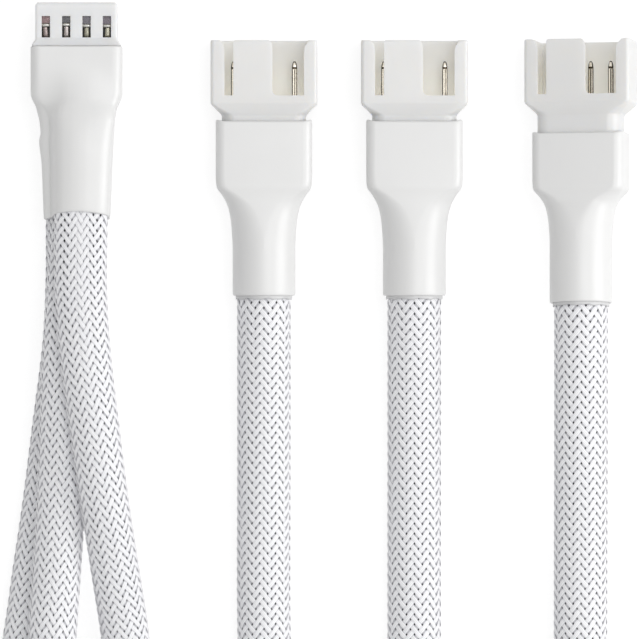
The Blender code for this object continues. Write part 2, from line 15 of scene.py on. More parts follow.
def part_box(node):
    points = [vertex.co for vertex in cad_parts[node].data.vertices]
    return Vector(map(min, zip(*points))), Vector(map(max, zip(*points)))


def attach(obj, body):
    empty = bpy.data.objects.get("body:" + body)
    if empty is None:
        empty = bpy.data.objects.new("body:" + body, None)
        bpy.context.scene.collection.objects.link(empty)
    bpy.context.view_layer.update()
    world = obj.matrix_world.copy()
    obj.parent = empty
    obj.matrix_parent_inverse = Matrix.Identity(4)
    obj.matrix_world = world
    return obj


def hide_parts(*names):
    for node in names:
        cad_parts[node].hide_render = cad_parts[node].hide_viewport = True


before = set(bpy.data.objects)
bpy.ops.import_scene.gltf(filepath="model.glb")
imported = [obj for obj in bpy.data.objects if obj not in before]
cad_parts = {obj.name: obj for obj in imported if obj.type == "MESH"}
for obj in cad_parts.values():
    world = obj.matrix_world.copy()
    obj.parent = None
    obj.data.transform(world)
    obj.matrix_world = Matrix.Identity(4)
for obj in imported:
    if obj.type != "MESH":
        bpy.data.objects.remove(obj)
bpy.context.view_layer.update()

# The camera looks straight down on the plug and the headers.
VIEW_CENTRE = (0.03040, -0.02604)
VIEW_WIDTH = 0.080
VIEW_LEVEL = 0.0045
VIEW_BOTTOM = -0.0690
CAMERA_DISTANCE = 1.8
SENSOR_MM = 36.0

# Contacts, as in the model.
PITCH = 0.00254
CONTACTS = ("ground", "power", "speed", "control")
CONTACT_X = tuple((i - 1.5) * PITCH for i in range(len(CONTACTS)))

# Each leg's centreline, from inside the plug's boot to inside a header's boot.
ROUTES = (
    (
        (0.0006, -0.0042, 0.00885), (0.0006, -0.0136, 0.00885), (0.0006, -0.0215, 0.0101),
        (0.0011, -0.0295, 0.0115), (0.0024, -0.0400, 0.0121), (0.0036, -0.0490, 0.0113),
        (0.0048, -0.0570, 0.0089), (0.0061, -0.0660, 0.0058), (0.0069, -0.0760, 0.0038),
        (0.0069, -0.0900, 0.0033), (0.0063, -0.1080, 0.0033), (0.0056, -0.1280, 0.0033),
        (0.0056, -0.1460, 0.0034), (0.0094, -0.1565, 0.0034), (0.0190, -0.1608, 0.0034),
        (0.0286, -0.1565, 0.0034), (0.0325, -0.1460, 0.0035), (0.0319, -0.1300, 0.0035),
        (0.0292, -0.1130, 0.0035), (0.0259, -0.0960, 0.0035), (0.0239, -0.0800, 0.0035),
        (0.0234, -0.0640, 0.0035), (0.0234, -0.0440, 0.0036), (0.0234, -0.0240, 0.00396),
        (0.0234, -0.0128, 0.00396),
    ),
    (
        (0.0, -0.0042, 0.00555), (0.0, -0.0136, 0.00555), (-0.0004, -0.0215, 0.0061),
        (-0.0010, -0.0295, 0.0070), (-0.0015, -0.0400, 0.0080), (-0.0019, -0.0490, 0.0086),
        (-0.0024, -0.0570, 0.0088), (-0.0030, -0.0660, 0.0087), (-0.0034, -0.0760, 0.0074),
        (-0.0041, -0.0880, 0.0047), (-0.0050, -0.1000, 0.0033), (-0.0057, -0.1160, 0.0033),
        (-0.0058, -0.1320, 0.0033), (-0.0058, -0.1460, 0.0033), (-0.0040, -0.1552, 0.0033),
        (0.0012, -0.1630, 0.0034), (0.0090, -0.1682, 0.0034), (0.0182, -0.1700, 0.0034),
        (0.0274, -0.1682, 0.0034), (0.0352, -0.1630, 0.0034), (0.0404, -0.1552, 0.0035),
        (0.0422, -0.1460, 0.0035), (0.0424, -0.1280, 0.0035), (0.0424, -0.1080, 0.0035),
        (0.0423, -0.0860, 0.0035), (0.0422, -0.0640, 0.0035), (0.0422, -0.0440, 0.0036),
        (0.0422, -0.0240, 0.00396), (0.0422, -0.0128, 0.00396),
    ),
    (
        (-0.0006, -0.0042, 0.00225), (-0.0006, -0.0136, 0.00225), (-0.0007, -0.0215, 0.0022),
        (-0.0012, -0.0295, 0.0024), (-0.0026, -0.0400, 0.0027), (-0.0038, -0.0490, 0.0030),
        (-0.0050, -0.0570, 0.0032), (-0.0063, -0.0660, 0.0033), (-0.0082, -0.0760, 0.0033),
        (-0.0107, -0.0880, 0.0033), (-0.0126, -0.1010, 0.0033), (-0.0134, -0.1150, 0.0033),
        (-0.0134, -0.1300, 0.0033), (-0.0133, -0.1450, 0.0033), (-0.0104, -0.1596, 0.0033),
        (-0.0022, -0.1720, 0.0034), (0.0102, -0.1803, 0.0034), (0.0248, -0.1832, 0.0034),
        (0.0395, -0.1803, 0.0034), (0.0519, -0.1720, 0.0034), (0.0601, -0.1596, 0.0035),
        (0.0630, -0.1450, 0.0035), (0.0631, -0.1270, 0.0035), (0.0631, -0.1080, 0.0035),
        (0.0630, -0.0900, 0.0035), (0.0630, -0.0740, 0.0037), (0.0630, -0.0600, 0.0048),
        (0.0630, -0.0480, 0.0062), (0.0630, -0.0370, 0.0070), (0.0630, -0.0248, 0.00682),
        (0.0630, -0.0136, 0.00603),
    ),
)
ROUTE_STEPS = 24

# How each header lies: x and height of its axis, with roll and pitch in degrees. Of its boot: how far it
# slipped back, how far its front crept back further, how much tighter it hugs the tail, how far behind the
# slipped front its bend starts, and its taper as a share of the usual one.
PORTS = (
    {"x": 0.0234, "z": 0.00396, "roll": 0.0, "pitch": 0.0,
     "slip": 0.0, "crept": 0.0, "hug": 0.0, "straight": 0.0079, "taper": 1.0},
    {"x": 0.0422, "z": 0.00396, "roll": 0.0, "pitch": 0.0,
     "slip": 0.0, "crept": 0.0, "hug": 0.0, "straight": 0.0079, "taper": 1.0},
    {"x": 0.0630, "z": 0.00508, "roll": -11.0, "pitch": -4.0,
     "slip": 0.0010, "crept": 0.00065, "hug": 0.00025, "straight": 0.0074, "taper": 0.82},
)

# Sleeves: how much of each end a boot covers, and the thickness that the model gives them.
SLEEVE_COVERED_HOST = 0.0093
SLEEVE_COVERED_PORT = 0.0102
SLEEVE_TUCK = 0.0018
SLEEVE_SQUEEZED = 0.0030
SLEEVE_HOST_DIAMETER = 0.0061
SLEEVE_PORT_DIAMETER = 0.0068
SLEEVE_GRIPPED = 0.00636
SLEEVE_SWELL = 0.047

# The braid: yarns each way round, and the length of sleeve between one crossing and the next.
YARNS = 18
CROSSING_HOST = 0.000677
CROSSING_PORT = 0.000628
YARN_WIDTH = 0.00070
SEAM = 0.00009
PINHOLE = 0.00022
YARN_CROWN = 0.00010
WEAVE_DEPTH = 0.00008
LINING_BELOW = 0.00055
LINING_SIDES = 28


def ease(value):
    value = np.clip(value, 0.0, 1.0)
    return value * value * (3 - 2 * value)


def flow(keys, at):
    """Smooth values between keys, each a place and its values, with no overshoot."""
    keys = np.array(sorted(keys), float)
    place, value = keys[:, 0], keys[:, 1:]
    step = np.diff(place)[:, None]
    slope = np.diff(value, axis=0) / step
    product = slope[1:] * slope[:-1]
    total = np.where(product > 0, slope[1:] + slope[:-1], 1.0)
    inner = np.where(product > 0, 2 * product / total, 0.0)
    tangent = np.vstack([slope[:1], inner, slope[-1:]])
    at = np.atleast_1d(np.asarray(at, float))
    i = np.clip(np.searchsorted(place, at) - 1, 0, len(place) - 2)
    t = np.clip((at - place[i]) / step[i, 0], 0.0, 1.0)[:, None]
    return (
        value[i] * (2 * t**3 - 3 * t**2 + 1) + value[i + 1] * (3 * t**2 - 2 * t**3)
        + step[i] * tangent[i] * (t**3 - 2 * t**2 + t) + step[i] * tangent[i + 1] * (t**3 - t**2)
    )


class Nodes:
    """Adds nodes to a tree and joins them up."""

    def __init__(self, tree):
        self.tree = tree

    def add(self, kind, inputs=None, **settings):
        node = self.tree.nodes.new(kind)
        for name, value in settings.items():
            setattr(node, name, value)
        for key, value in (inputs or {}).items():
            if isinstance(value, bpy.types.NodeSocket):
                self.tree.links.new(value, node.inputs[key])
            else:
                node.inputs[key].default_value = value
        return node

    def math(self, operation, *values):
        return self.add("ShaderNodeMath", dict(enumerate(values)), operation=operation).outputs[0]

    def vector(self, operation, *values):
        return self.add("ShaderNodeVectorMath", dict(enumerate(values)), operation=operation).outputs[0]

    def scaled(self, vector, factor):
        node = self.add("ShaderNodeVectorMath", operation="SCALE")
        self.tree.links.new(vector, node.inputs[0])
        self.tree.links.new(factor, node.inputs["Scale"])
        return node.outputs[0]

    def mixed(self, factor, first, second, blend="MIX"):
        node = self.add("ShaderNodeMix", data_type="RGBA", blend_type=blend)
        colours = [s for s in node.inputs if s.type == "RGBA"]
        for socket, value in zip((node.inputs[0], *colours), (factor, first, second)):
            if isinstance(value, bpy.types.NodeSocket):
                self.tree.links.new(value, socket)
            else:
                socket.default_value = value
        return next(s for s in node.outputs if s.type == "RGBA")

    def remapped(self, value, low, high, to_low, to_high):
        return self.add(
            "ShaderNodeMapRange", {0: value, 1: low, 2: high, 3: to_low, 4: to_high}
        ).outputs[0]


def group(name, kind, inputs, outputs):
    """A node group with named sockets. Gives its nodes, its input sockets and its output node."""
    tree = bpy.data.node_groups.new(name, kind)
    for label, socket_type, default in inputs:
        socket = tree.interface.new_socket(label, in_out="INPUT", socket_type=socket_type)
        if default is not None:
            socket.default_value = default
    for label, socket_type in outputs:
        tree.interface.new_socket(label, in_out="OUTPUT", socket_type=socket_type)
    nodes = Nodes(tree)
    return nodes, nodes.add("NodeGroupInput").outputs, nodes.add("NodeGroupOutput").inputs


FLOAT, COLOUR, GEOMETRY = "NodeSocketFloat", "NodeSocketColor", "NodeSocketGeometry"
WHITE = (1.0, 1.0, 1.0, 1.0)


def plastic_skin_group():
    """The surface of a moulded or shrunk plastic: a slow drift of tone and gloss, and a fine grain."""
    nodes, inputs, outputs = group(
        "plastic_skin", "ShaderNodeTree",
        [("Colour", COLOUR, WHITE), ("Worn Colour", COLOUR, WHITE), ("Drift", FLOAT, 0.5),
         ("Gloss Low", FLOAT, 0.3), ("Gloss High", FLOAT, 0.4), ("Patch Scale", FLOAT, 250.0),
         ("Grain Scale", FLOAT, 6000.0), ("Grain Share", FLOAT, 0.3)],
        [("Colour", COLOUR), ("Roughness", FLOAT), ("Height", FLOAT)],
    )
    place = nodes.add("ShaderNodeTexCoord").outputs["Object"]
    patches = nodes.add(
        "ShaderNodeTexNoise", {"Vector": place, "Scale": inputs["Patch Scale"], "Detail": 3.0}
    ).outputs["Fac"]
    grain = nodes.add(
        "ShaderNodeTexNoise", {"Vector": place, "Scale": inputs["Grain Scale"], "Detail": 2.0}
    ).outputs["Fac"]
    drift = nodes.math("MULTIPLY", patches, inputs["Drift"])
    links = nodes.tree.links
    links.new(nodes.mixed(drift, inputs["Colour"], inputs["Worn Colour"]), outputs["Colour"])
    gloss = nodes.remapped(patches, 0.3, 0.7, inputs["Gloss Low"], inputs["Gloss High"])
    links.new(gloss, outputs["Roughness"])
    links.new(nodes.math("MULTIPLY_ADD", grain, inputs["Grain Share"], patches), outputs["Height"])
    return nodes.tree


def tarnish_group():
    """Bright metal, dulled by tarnish in patches, and darkened by painted shade and painted dark reflections
    given as an input.
    """
    nodes, inputs, outputs = group(
        "metal_tarnish_and_shade", "ShaderNodeTree",
        [("Bright", COLOUR, WHITE), ("Dull", COLOUR, WHITE), ("Edge Shade", FLOAT, 0.0),
         ("Patch Scale", FLOAT, 2500.0), ("Patch Share", FLOAT, 0.3)],
        [("Colour", COLOUR), ("Roughness", FLOAT), ("Height", FLOAT)],
    )
    place = nodes.add("ShaderNodeTexCoord").outputs["Object"]
    patches = nodes.add(
        "ShaderNodeTexNoise", {"Vector": place, "Scale": inputs["Patch Scale"], "Detail": 4.0}
    ).outputs["Fac"]
    spotted = nodes.math("MULTIPLY", patches, inputs["Patch Share"])
    darkened = nodes.add("ShaderNodeMath", {0: spotted, 1: inputs["Edge Shade"]}, operation="ADD", use_clamp=True)
    links = nodes.tree.links
    links.new(nodes.mixed(darkened.outputs[0], inputs["Bright"], inputs["Dull"]), outputs["Colour"])
    links.new(nodes.remapped(patches, 0.3, 0.7, 0.18, 0.34), outputs["Roughness"])
    links.new(patches, outputs["Height"])
    return nodes.tree


def new_material(name, **constants):
    """A material with one shader, whose plain values are set on its own sockets."""
    made = bpy.data.materials.new(name)
    made.use_nodes = True
    nodes = Nodes(made.node_tree)
    shader = made.node_tree.nodes["Principled BSDF"]
    for label, value in constants.items():
        shader.inputs[label.replace("_", " ").title().replace("Ior", "IOR")].default_value = value
    return made, nodes, shader


def dress(nodes, shader, skin, values, bump_distance):
    """Join a surface group to the shader's colour, gloss and normal."""
    holder = nodes.add("ShaderNodeGroup", node_tree=skin)
    for label, value in values.items():
        if isinstance(value, bpy.types.NodeSocket):
            nodes.tree.links.new(value, holder.inputs[label])
        else:
            holder.inputs[label].default_value = value
    bump = nodes.add(
        "ShaderNodeBump",
        {"Height": holder.outputs["Height"], "Distance": bump_distance, "Strength": 1.0},
    )
    nodes.tree.links.new(holder.outputs["Roughness"], shader.inputs["Roughness"])
    nodes.tree.links.new(bump.outputs[0], shader.inputs["Normal"])
    return holder.outputs["Colour"]


def attribute(nodes, name):
    return nodes.add("ShaderNodeAttribute", attribute_name=name, attribute_type="GEOMETRY").outputs["Fac"]


def nylon_material(skin, name, bright):
    """White moulded nylon. Its pockets are painted warm, with a faint glow: painted light for the light that
    comes through its walls.
    """
    made, nodes, shader = new_material(name, specular_ior_level=0.45, subsurface_weight=0.6,
                                       subsurface_radius=(1.0, 0.92, 0.8), subsurface_scale=0.0016,
                                       emission_color=(1.0, 0.975, 0.91, 1.0))
    colour = dress(nodes, shader, skin, {
        "Colour": (bright, bright, 0.995 * bright, 1.0),
        "Worn Colour": (0.965 * bright, 0.961 * bright, 0.948 * bright, 1.0), "Drift": 0.5,
        "Gloss Low": 0.30, "Gloss High": 0.40, "Patch Scale": 300.0, "Grain Scale": 9000.0,
        "Grain Share": 0.3,
    }, 0.000012)
    # Where the pocket attribute is high, the colour is painted warm and a faint glow is added: painted light
    # inside the pockets.
    pocket = attribute(nodes, "pocket")
    pocket_glow_colour = nodes.mixed(pocket, colour, (1.0, 0.965, 0.875, 1.0))
    nodes.tree.links.new(pocket_glow_colour, shader.inputs["Base Color"])
    nodes.tree.links.new(nodes.math("MULTIPLY", pocket, 0.095), shader.inputs["Emission Strength"])
    return made


def shrink_material(skin):
    """White heat-shrink: smooth, softly waved, and a little glossier than the nylon. The frayed band past a
    header boot's rim is painted grey: painted shade under the rim.
    """
    made, nodes, shader = new_material("white_shrink", specular_ior_level=0.5)
    colour = dress(nodes, shader, skin, {
        "Colour": (0.805, 0.805, 0.800, 1.0), "Worn Colour": (0.775, 0.773, 0.766, 1.0), "Drift": 0.5,
        "Gloss Low": 0.32, "Gloss High": 0.42, "Patch Scale": 180.0, "Grain Scale": 5000.0,
        "Grain Share": 0.12,
    }, 0.00003)
    # The frayed band is painted grey: painted shade under the boot's rim.
    frayed = nodes.math("MULTIPLY", attribute(nodes, "rim_shade_band"), 0.75)
    nodes.tree.links.new(nodes.mixed(frayed, colour, (0.56, 0.56, 0.57, 1.0)), shader.inputs["Base Color"])
    return made


def insulation_material(skin):
    """The black insulation of the wires."""
    made, nodes, shader = new_material("black_insulation", specular_ior_level=0.3)
    colour = dress(nodes, shader, skin, {
        "Colour": (0.006, 0.006, 0.007, 1.0), "Worn Colour": (0.014, 0.014, 0.016, 1.0), "Drift": 0.8,
        "Gloss Low": 0.45, "Gloss High": 0.6, "Patch Scale": 400.0, "Grain Scale": 7000.0,
        "Grain Share": 0.3,
    }, 0.00001)
    nodes.tree.links.new(colour, shader.inputs["Base Color"])
    return made


# Across a pin from one edge to the other, how dark it is painted: the dark bands are painted dark
# reflections, and the bright band is the tin's own tone.
PIN_REFLECTION_BANDS = (
    (0.0, 1.0), (0.14, 0.95), (0.20, 0.0), (0.42, 0.0), (0.47, 0.93), (0.61, 0.93), (0.67, 0.50),
    (0.84, 0.50), (0.93, 0.9), (1.0, 1.0),
)


def pin_material(tarnish):
    """Tin over brass, tarnished in patches, with painted dark reflections along its edges, at its point and
    in bands along it.
    """
    made, nodes, shader = new_material("tinned_brass", metallic=1.0)
    banded = nodes.add("ShaderNodeValToRGB", {0: attribute(nodes, "across")})
    reflection_bands = banded.color_ramp.elements
    for place, value in PIN_REFLECTION_BANDS[1:-1]:
        reflection_bands.new(place)
    for mark, (place, value) in zip(reflection_bands, PIN_REFLECTION_BANDS):
        mark.position, mark.color = place, (value, value, value, 1.0)
    darkened = nodes.math("MAXIMUM", banded.outputs[0], attribute(nodes, "edge"))
    colour = dress(nodes, shader, tarnish, {
        "Bright": (0.78, 0.73, 0.63, 1.0), "Dull": (0.035, 0.026, 0.016, 1.0),
        "Edge Shade": darkened, "Patch Scale": 1800.0, "Patch Share": 0.16,
    }, 0.000004)
    nodes.tree.links.new(colour, shader.inputs["Base Color"])
    return made


def terminal_material(tarnish, name, bright):
    """Stamped terminal metal, tarnished in patches, and darker towards its sides: painted shade."""
    made, nodes, shader = new_material(name, metallic=0.75)
    dull = tuple(0.2 * value for value in bright)
    colour = dress(nodes, shader, tarnish, {
        "Bright": (*bright, 1.0), "Dull": (*dull, 1.0),
        "Edge Shade": attribute(nodes, "edge"), "Patch Scale": 3200.0, "Patch Share": 0.35,
    }, 0.000006)
    nodes.tree.links.new(colour, shader.inputs["Base Color"])
    return made


FILAMENTS = 3


def yarn_material():
    """Bright white yarn: flat bundles of filaments, with painted shade in the grooves between filaments,
    along each yarn's edges and where it dips under, and a faint painted glow that brightens it.
    """
    # The faint emission is a painted glow that makes the yarn brighter than its colour.
    made, nodes, shader = new_material(
        "white_yarn", specular_ior_level=0.35, sheen_weight=0.4, sheen_roughness=0.5,
        emission_color=(0.95, 0.96, 1.0, 1.0), emission_strength=0.045
    )
    across = attribute(nodes, "across")
    yarn = attribute(nodes, "yarn")
    place = nodes.add("ShaderNodeTexCoord").outputs["Object"]
    stray = nodes.add("ShaderNodeTexNoise", {"Vector": place, "Scale": 1400.0, "Detail": 2.0}).outputs["Fac"]
    bent = nodes.math("MULTIPLY_ADD", stray, 1.6, nodes.math("MULTIPLY", across, FILAMENTS * math.pi / 2))
    ridge = nodes.math("ABSOLUTE", nodes.math("COSINE", bent))
    height = nodes.math("POWER", ridge, 0.6)
    # Darker in the grooves between filaments: painted shade.
    tone = nodes.mixed(ridge, (0.74, 0.74, 0.77, 1.0), (0.99, 0.99, 0.995, 1.0))
    scattered = nodes.math("SINE", nodes.math("MULTIPLY", yarn, 12.9))
    share = nodes.math("FRACT", nodes.math("MULTIPLY", scattered, 43.7))
    faint = nodes.math("MULTIPLY", share, 0.22)
    colour = nodes.mixed(faint, tone, (0.84, 0.845, 0.89, 1.0))
    # Each yarn darkens towards its edges, and where it dips under the crossing yarns: painted shade between
    # yarns.
    rim = nodes.remapped(nodes.math("ABSOLUTE", across), 0.70, 1.0, 0.0, 0.6)
    colour = nodes.mixed(rim, colour, (0.42, 0.42, 0.46, 1.0))
    under_shade = nodes.remapped(attribute(nodes, "over"), 0.0, -0.8, 0.0, 0.5)
    colour = nodes.mixed(under_shade, colour, (0.30, 0.30, 0.34, 1.0))
    bump = nodes.add("ShaderNodeBump", {"Height": height, "Distance": 0.00002, "Strength": 0.7})
    nodes.tree.links.new(colour, shader.inputs["Base Color"])
    nodes.tree.links.new(nodes.remapped(stray, 0.3, 0.7, 0.42, 0.62), shader.inputs["Roughness"])
    nodes.tree.links.new(bump.outputs[0], shader.inputs["Normal"])
    return made


def seen_directly(nodes):
    """1 for what the camera, glass or a reflection sees, and 0 for the light that falls on the cable."""
    path = nodes.add("ShaderNodeLightPath").outputs
    looked_at = nodes.math("MAXIMUM", path["Is Camera Ray"], path["Is Transmission Ray"])
    return nodes.math("MAXIMUM", looked_at, path["Is Glossy Ray"])


def floor_material():
    """A pale floor that is white to the eye and still takes a faint shadow."""
    made = bpy.data.materials.new("pale_floor")
    made.use_nodes = True
    nodes = Nodes(made.node_tree)
    tree = made.node_tree
    tree.nodes.remove(tree.nodes["Principled BSDF"])
    seen = nodes.add("ShaderNodeAddShader")
    dim = nodes.add("ShaderNodeBsdfDiffuse", {"Color": (0.32, 0.32, 0.32, 1.0)})
    glow = nodes.add("ShaderNodeEmission", {"Color": WHITE, "Strength": 0.80})
    tree.links.new(dim.outputs[0], seen.inputs[0])
    tree.links.new(glow.outputs[0], seen.inputs[1])
    plain = nodes.add("ShaderNodeBsdfDiffuse", {"Color": (0.8, 0.8, 0.8, 1.0)})
    choice = nodes.add("ShaderNodeMixShader", {0: seen_directly(nodes)})
    tree.links.new(plain.outputs[0], choice.inputs[1])
    tree.links.new(seen.outputs[0], choice.inputs[2])
    tree.links.new(choice.outputs[0], tree.nodes["Material Output"].inputs["Surface"])
    return made


def mesh_piece(name, mesh, materials):
    """A finished piece of the cable, riding on its one body."""
    piece = bpy.data.objects.new(name, mesh)
    bpy.context.scene.collection.objects.link(piece)
    for made in materials:
        if made.name not in mesh.materials:
            mesh.materials.append(made)
    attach(piece, "root")
    return piece


def evaluated_mesh(holder):
    """The plain mesh that an object's modifiers make. The object and its old mesh are removed."""
    graph = bpy.context.evaluated_depsgraph_get()
    mesh = bpy.data.meshes.new_from_object(holder.evaluated_get(graph), depsgraph=graph)
    bpy.data.objects.remove(holder)
    return mesh


def set_inputs(modifier, values):
    """Give a nodes modifier its inputs by their sockets' identifiers."""
    for item in modifier.node_group.interface.items_tree:
        if item.item_type == "SOCKET" and item.in_out == "INPUT" and item.name in values:
            modifier[item.identifier] = values[item.name]


def smooth_route(route):
    """One smooth curve through a route's own points, and the distance along it."""
    points = np.array(route)
    ends = np.vstack([2 * points[:1] - points[1:2], points, 2 * points[-1:] - points[-2:-1]])
    t = (np.arange(ROUTE_STEPS) / ROUTE_STEPS)[:, None]
    fine = [
        start * (2 * t**3 - 3 * t**2 + 1) + (end - before) / 2 * (t**3 - 2 * t**2 + t)
        + end * (3 * t**2 - 2 * t**3) + (after - start) / 2 * (t**3 - t**2)
        for before, start, end, after in zip(ends, ends[1:], ends[2:], ends[3:])
    ]
    fine = np.vstack([*fine, points[-1:]])
    along = np.concatenate([[0.0], np.cumsum(np.linalg.norm(np.diff(fine, axis=0), axis=1))])
    return fine, along


def model_radius(along, length):
    """Half the thickness of the model's sleeve at a distance along its leg."""
    swell = ease((along - SLEEVE_COVERED_HOST) / SLEEVE_SWELL)
    free = SLEEVE_HOST_DIAMETER + (SLEEVE_PORT_DIAMETER - SLEEVE_HOST_DIAMETER) * ease(along / length)
    thick = SLEEVE_SQUEEZED + (free - SLEEVE_SQUEEZED) * swell
    grip = ease((length - along - SLEEVE_COVERED_PORT) / SLEEVE_PORT_DIAMETER)
    return (SLEEVE_GRIPPED + (thick - SLEEVE_GRIPPED) * grip) / 2


def leg_section(along, length):
    """Half the sleeve's width and depth. It leaves the plug's boot flat and ends nearly round."""
    past = along - SLEEVE_COVERED_HOST
    left = length - SLEEVE_COVERED_PORT - along
    width = flow([(-0.002, 0.00338), (0.0, 0.00338), (0.016, 0.00325), (0.027, 0.00316), (0.042, 0.00307),
                  (0.070, 0.00310), (length - 0.060, 0.00341), (length, 0.00341)], past)[:, 0]
    depth = flow([(-0.002, 0.00155), (0.0, 0.00155), (0.008, 0.00188), (0.016, 0.00212), (0.026, 0.0023),
                  (0.060, 0.0024), (length - 0.060, 0.0027), (length, 0.0027)], past)[:, 0]
    gripped = 1 - ease(left / 0.016)
    return width, depth + (0.00316 - depth) * gripped


def leg_turns(fine, along, first, last):
    """Places along a leg at whole crossings, and at half ones too where the camera sees them."""
    spacing = CROSSING_HOST + (CROSSING_PORT - CROSSING_HOST) * ease(along / along[-1])
    turns = np.concatenate([[0.0], np.cumsum(np.diff(along) / spacing[1:])])
    turns -= np.interp(first, along, turns)
    hidden = np.nonzero(fine[:, 1] < VIEW_BOTTOM)[0]
    unseen = math.ceil(turns[hidden[0]])
    seen_again = math.floor(turns[hidden[-1]])
    end = math.floor(np.interp(last, along, turns))
    chosen = np.concatenate([
        np.arange(0, unseen, 0.5), np.arange(unseen, seen_again, 1.0), np.arange(seen_again, end + 0.25, 0.5)
    ])
    return chosen, np.interp(chosen, turns, along)


def yarn_spread(half_width, half_depth, turns, places):
    """How wide the yarns lie: nearly touching where they cross, and apart at the pinholes between."""
    around = 2 * math.pi * np.sqrt((half_width**2 + half_depth**2) / 2)
    pitch = 2 * YARNS * np.gradient(places, turns)
    apart = around / YARNS * np.cos(np.arctan2(around, pitch))
    coarse = np.gradient(turns) > 0.6
    gap = np.where(coarse, (SEAM + PINHOLE) / 2, np.where(turns % 1 > 0.25, PINHOLE, SEAM))
    return (apart - gap) / YARN_WIDTH


def set_values(mesh, name, values):
    mesh.attributes.new(name, "FLOAT", "POINT").data.foreach_set("value", np.asarray(values, np.float32))


def path_mesh(name, centres, values):
    """A chain of edges that carries values at its points."""
    mesh = bpy.data.meshes.new(name)
    mesh.from_pydata(centres.tolist(), [(i, i + 1) for i in range(len(centres) - 1)], [])
    for label, numbers in values.items():
        set_values(mesh, label, numbers)
    return mesh


def read(nodes, name, kind="FLOAT"):
    return nodes.add("GeometryNodeInputNamedAttribute", {"Name": name}, data_type=kind).outputs["Attribute"]


def keep(nodes, geometry, name, value, kind="FLOAT"):
    """Store a value on the points under a name."""
    stored = nodes.add(
        "GeometryNodeStoreNamedAttribute", {"Geometry": geometry, "Name": name},
        data_type=kind, domain="POINT",
    )
    nodes.tree.links.new(value, stored.inputs["Value"])
    return stored.outputs[0]


def position(nodes):
    return nodes.add("GeometryNodeInputPosition").outputs[0]


def path_frame(nodes):
    """The two directions across a path: sideways, and up."""
    tangent = nodes.add("GeometryNodeInputTangent").outputs[0]
    side = nodes.vector("NORMALIZE", nodes.vector("CROSS_PRODUCT", tangent, (0.0, 0.0, 1.0)))
    up = nodes.vector("CROSS_PRODUCT", side, tangent)
    return side, up


def oval_angle(nodes, turn, width, depth):
    """The angle on a flat oval that keeps equal steps of turn equally far apart along its edge."""
    uneven = nodes.math("DIVIDE", nodes.math("SUBTRACT", width, depth), nodes.math("ADD", width, depth))
    lean = nodes.math("MULTIPLY", nodes.math("MULTIPLY", uneven, 0.5),
                      nodes.math("SINE", nodes.math("MULTIPLY", turn, 2.0)))
    return nodes.math("ADD", turn, lean)


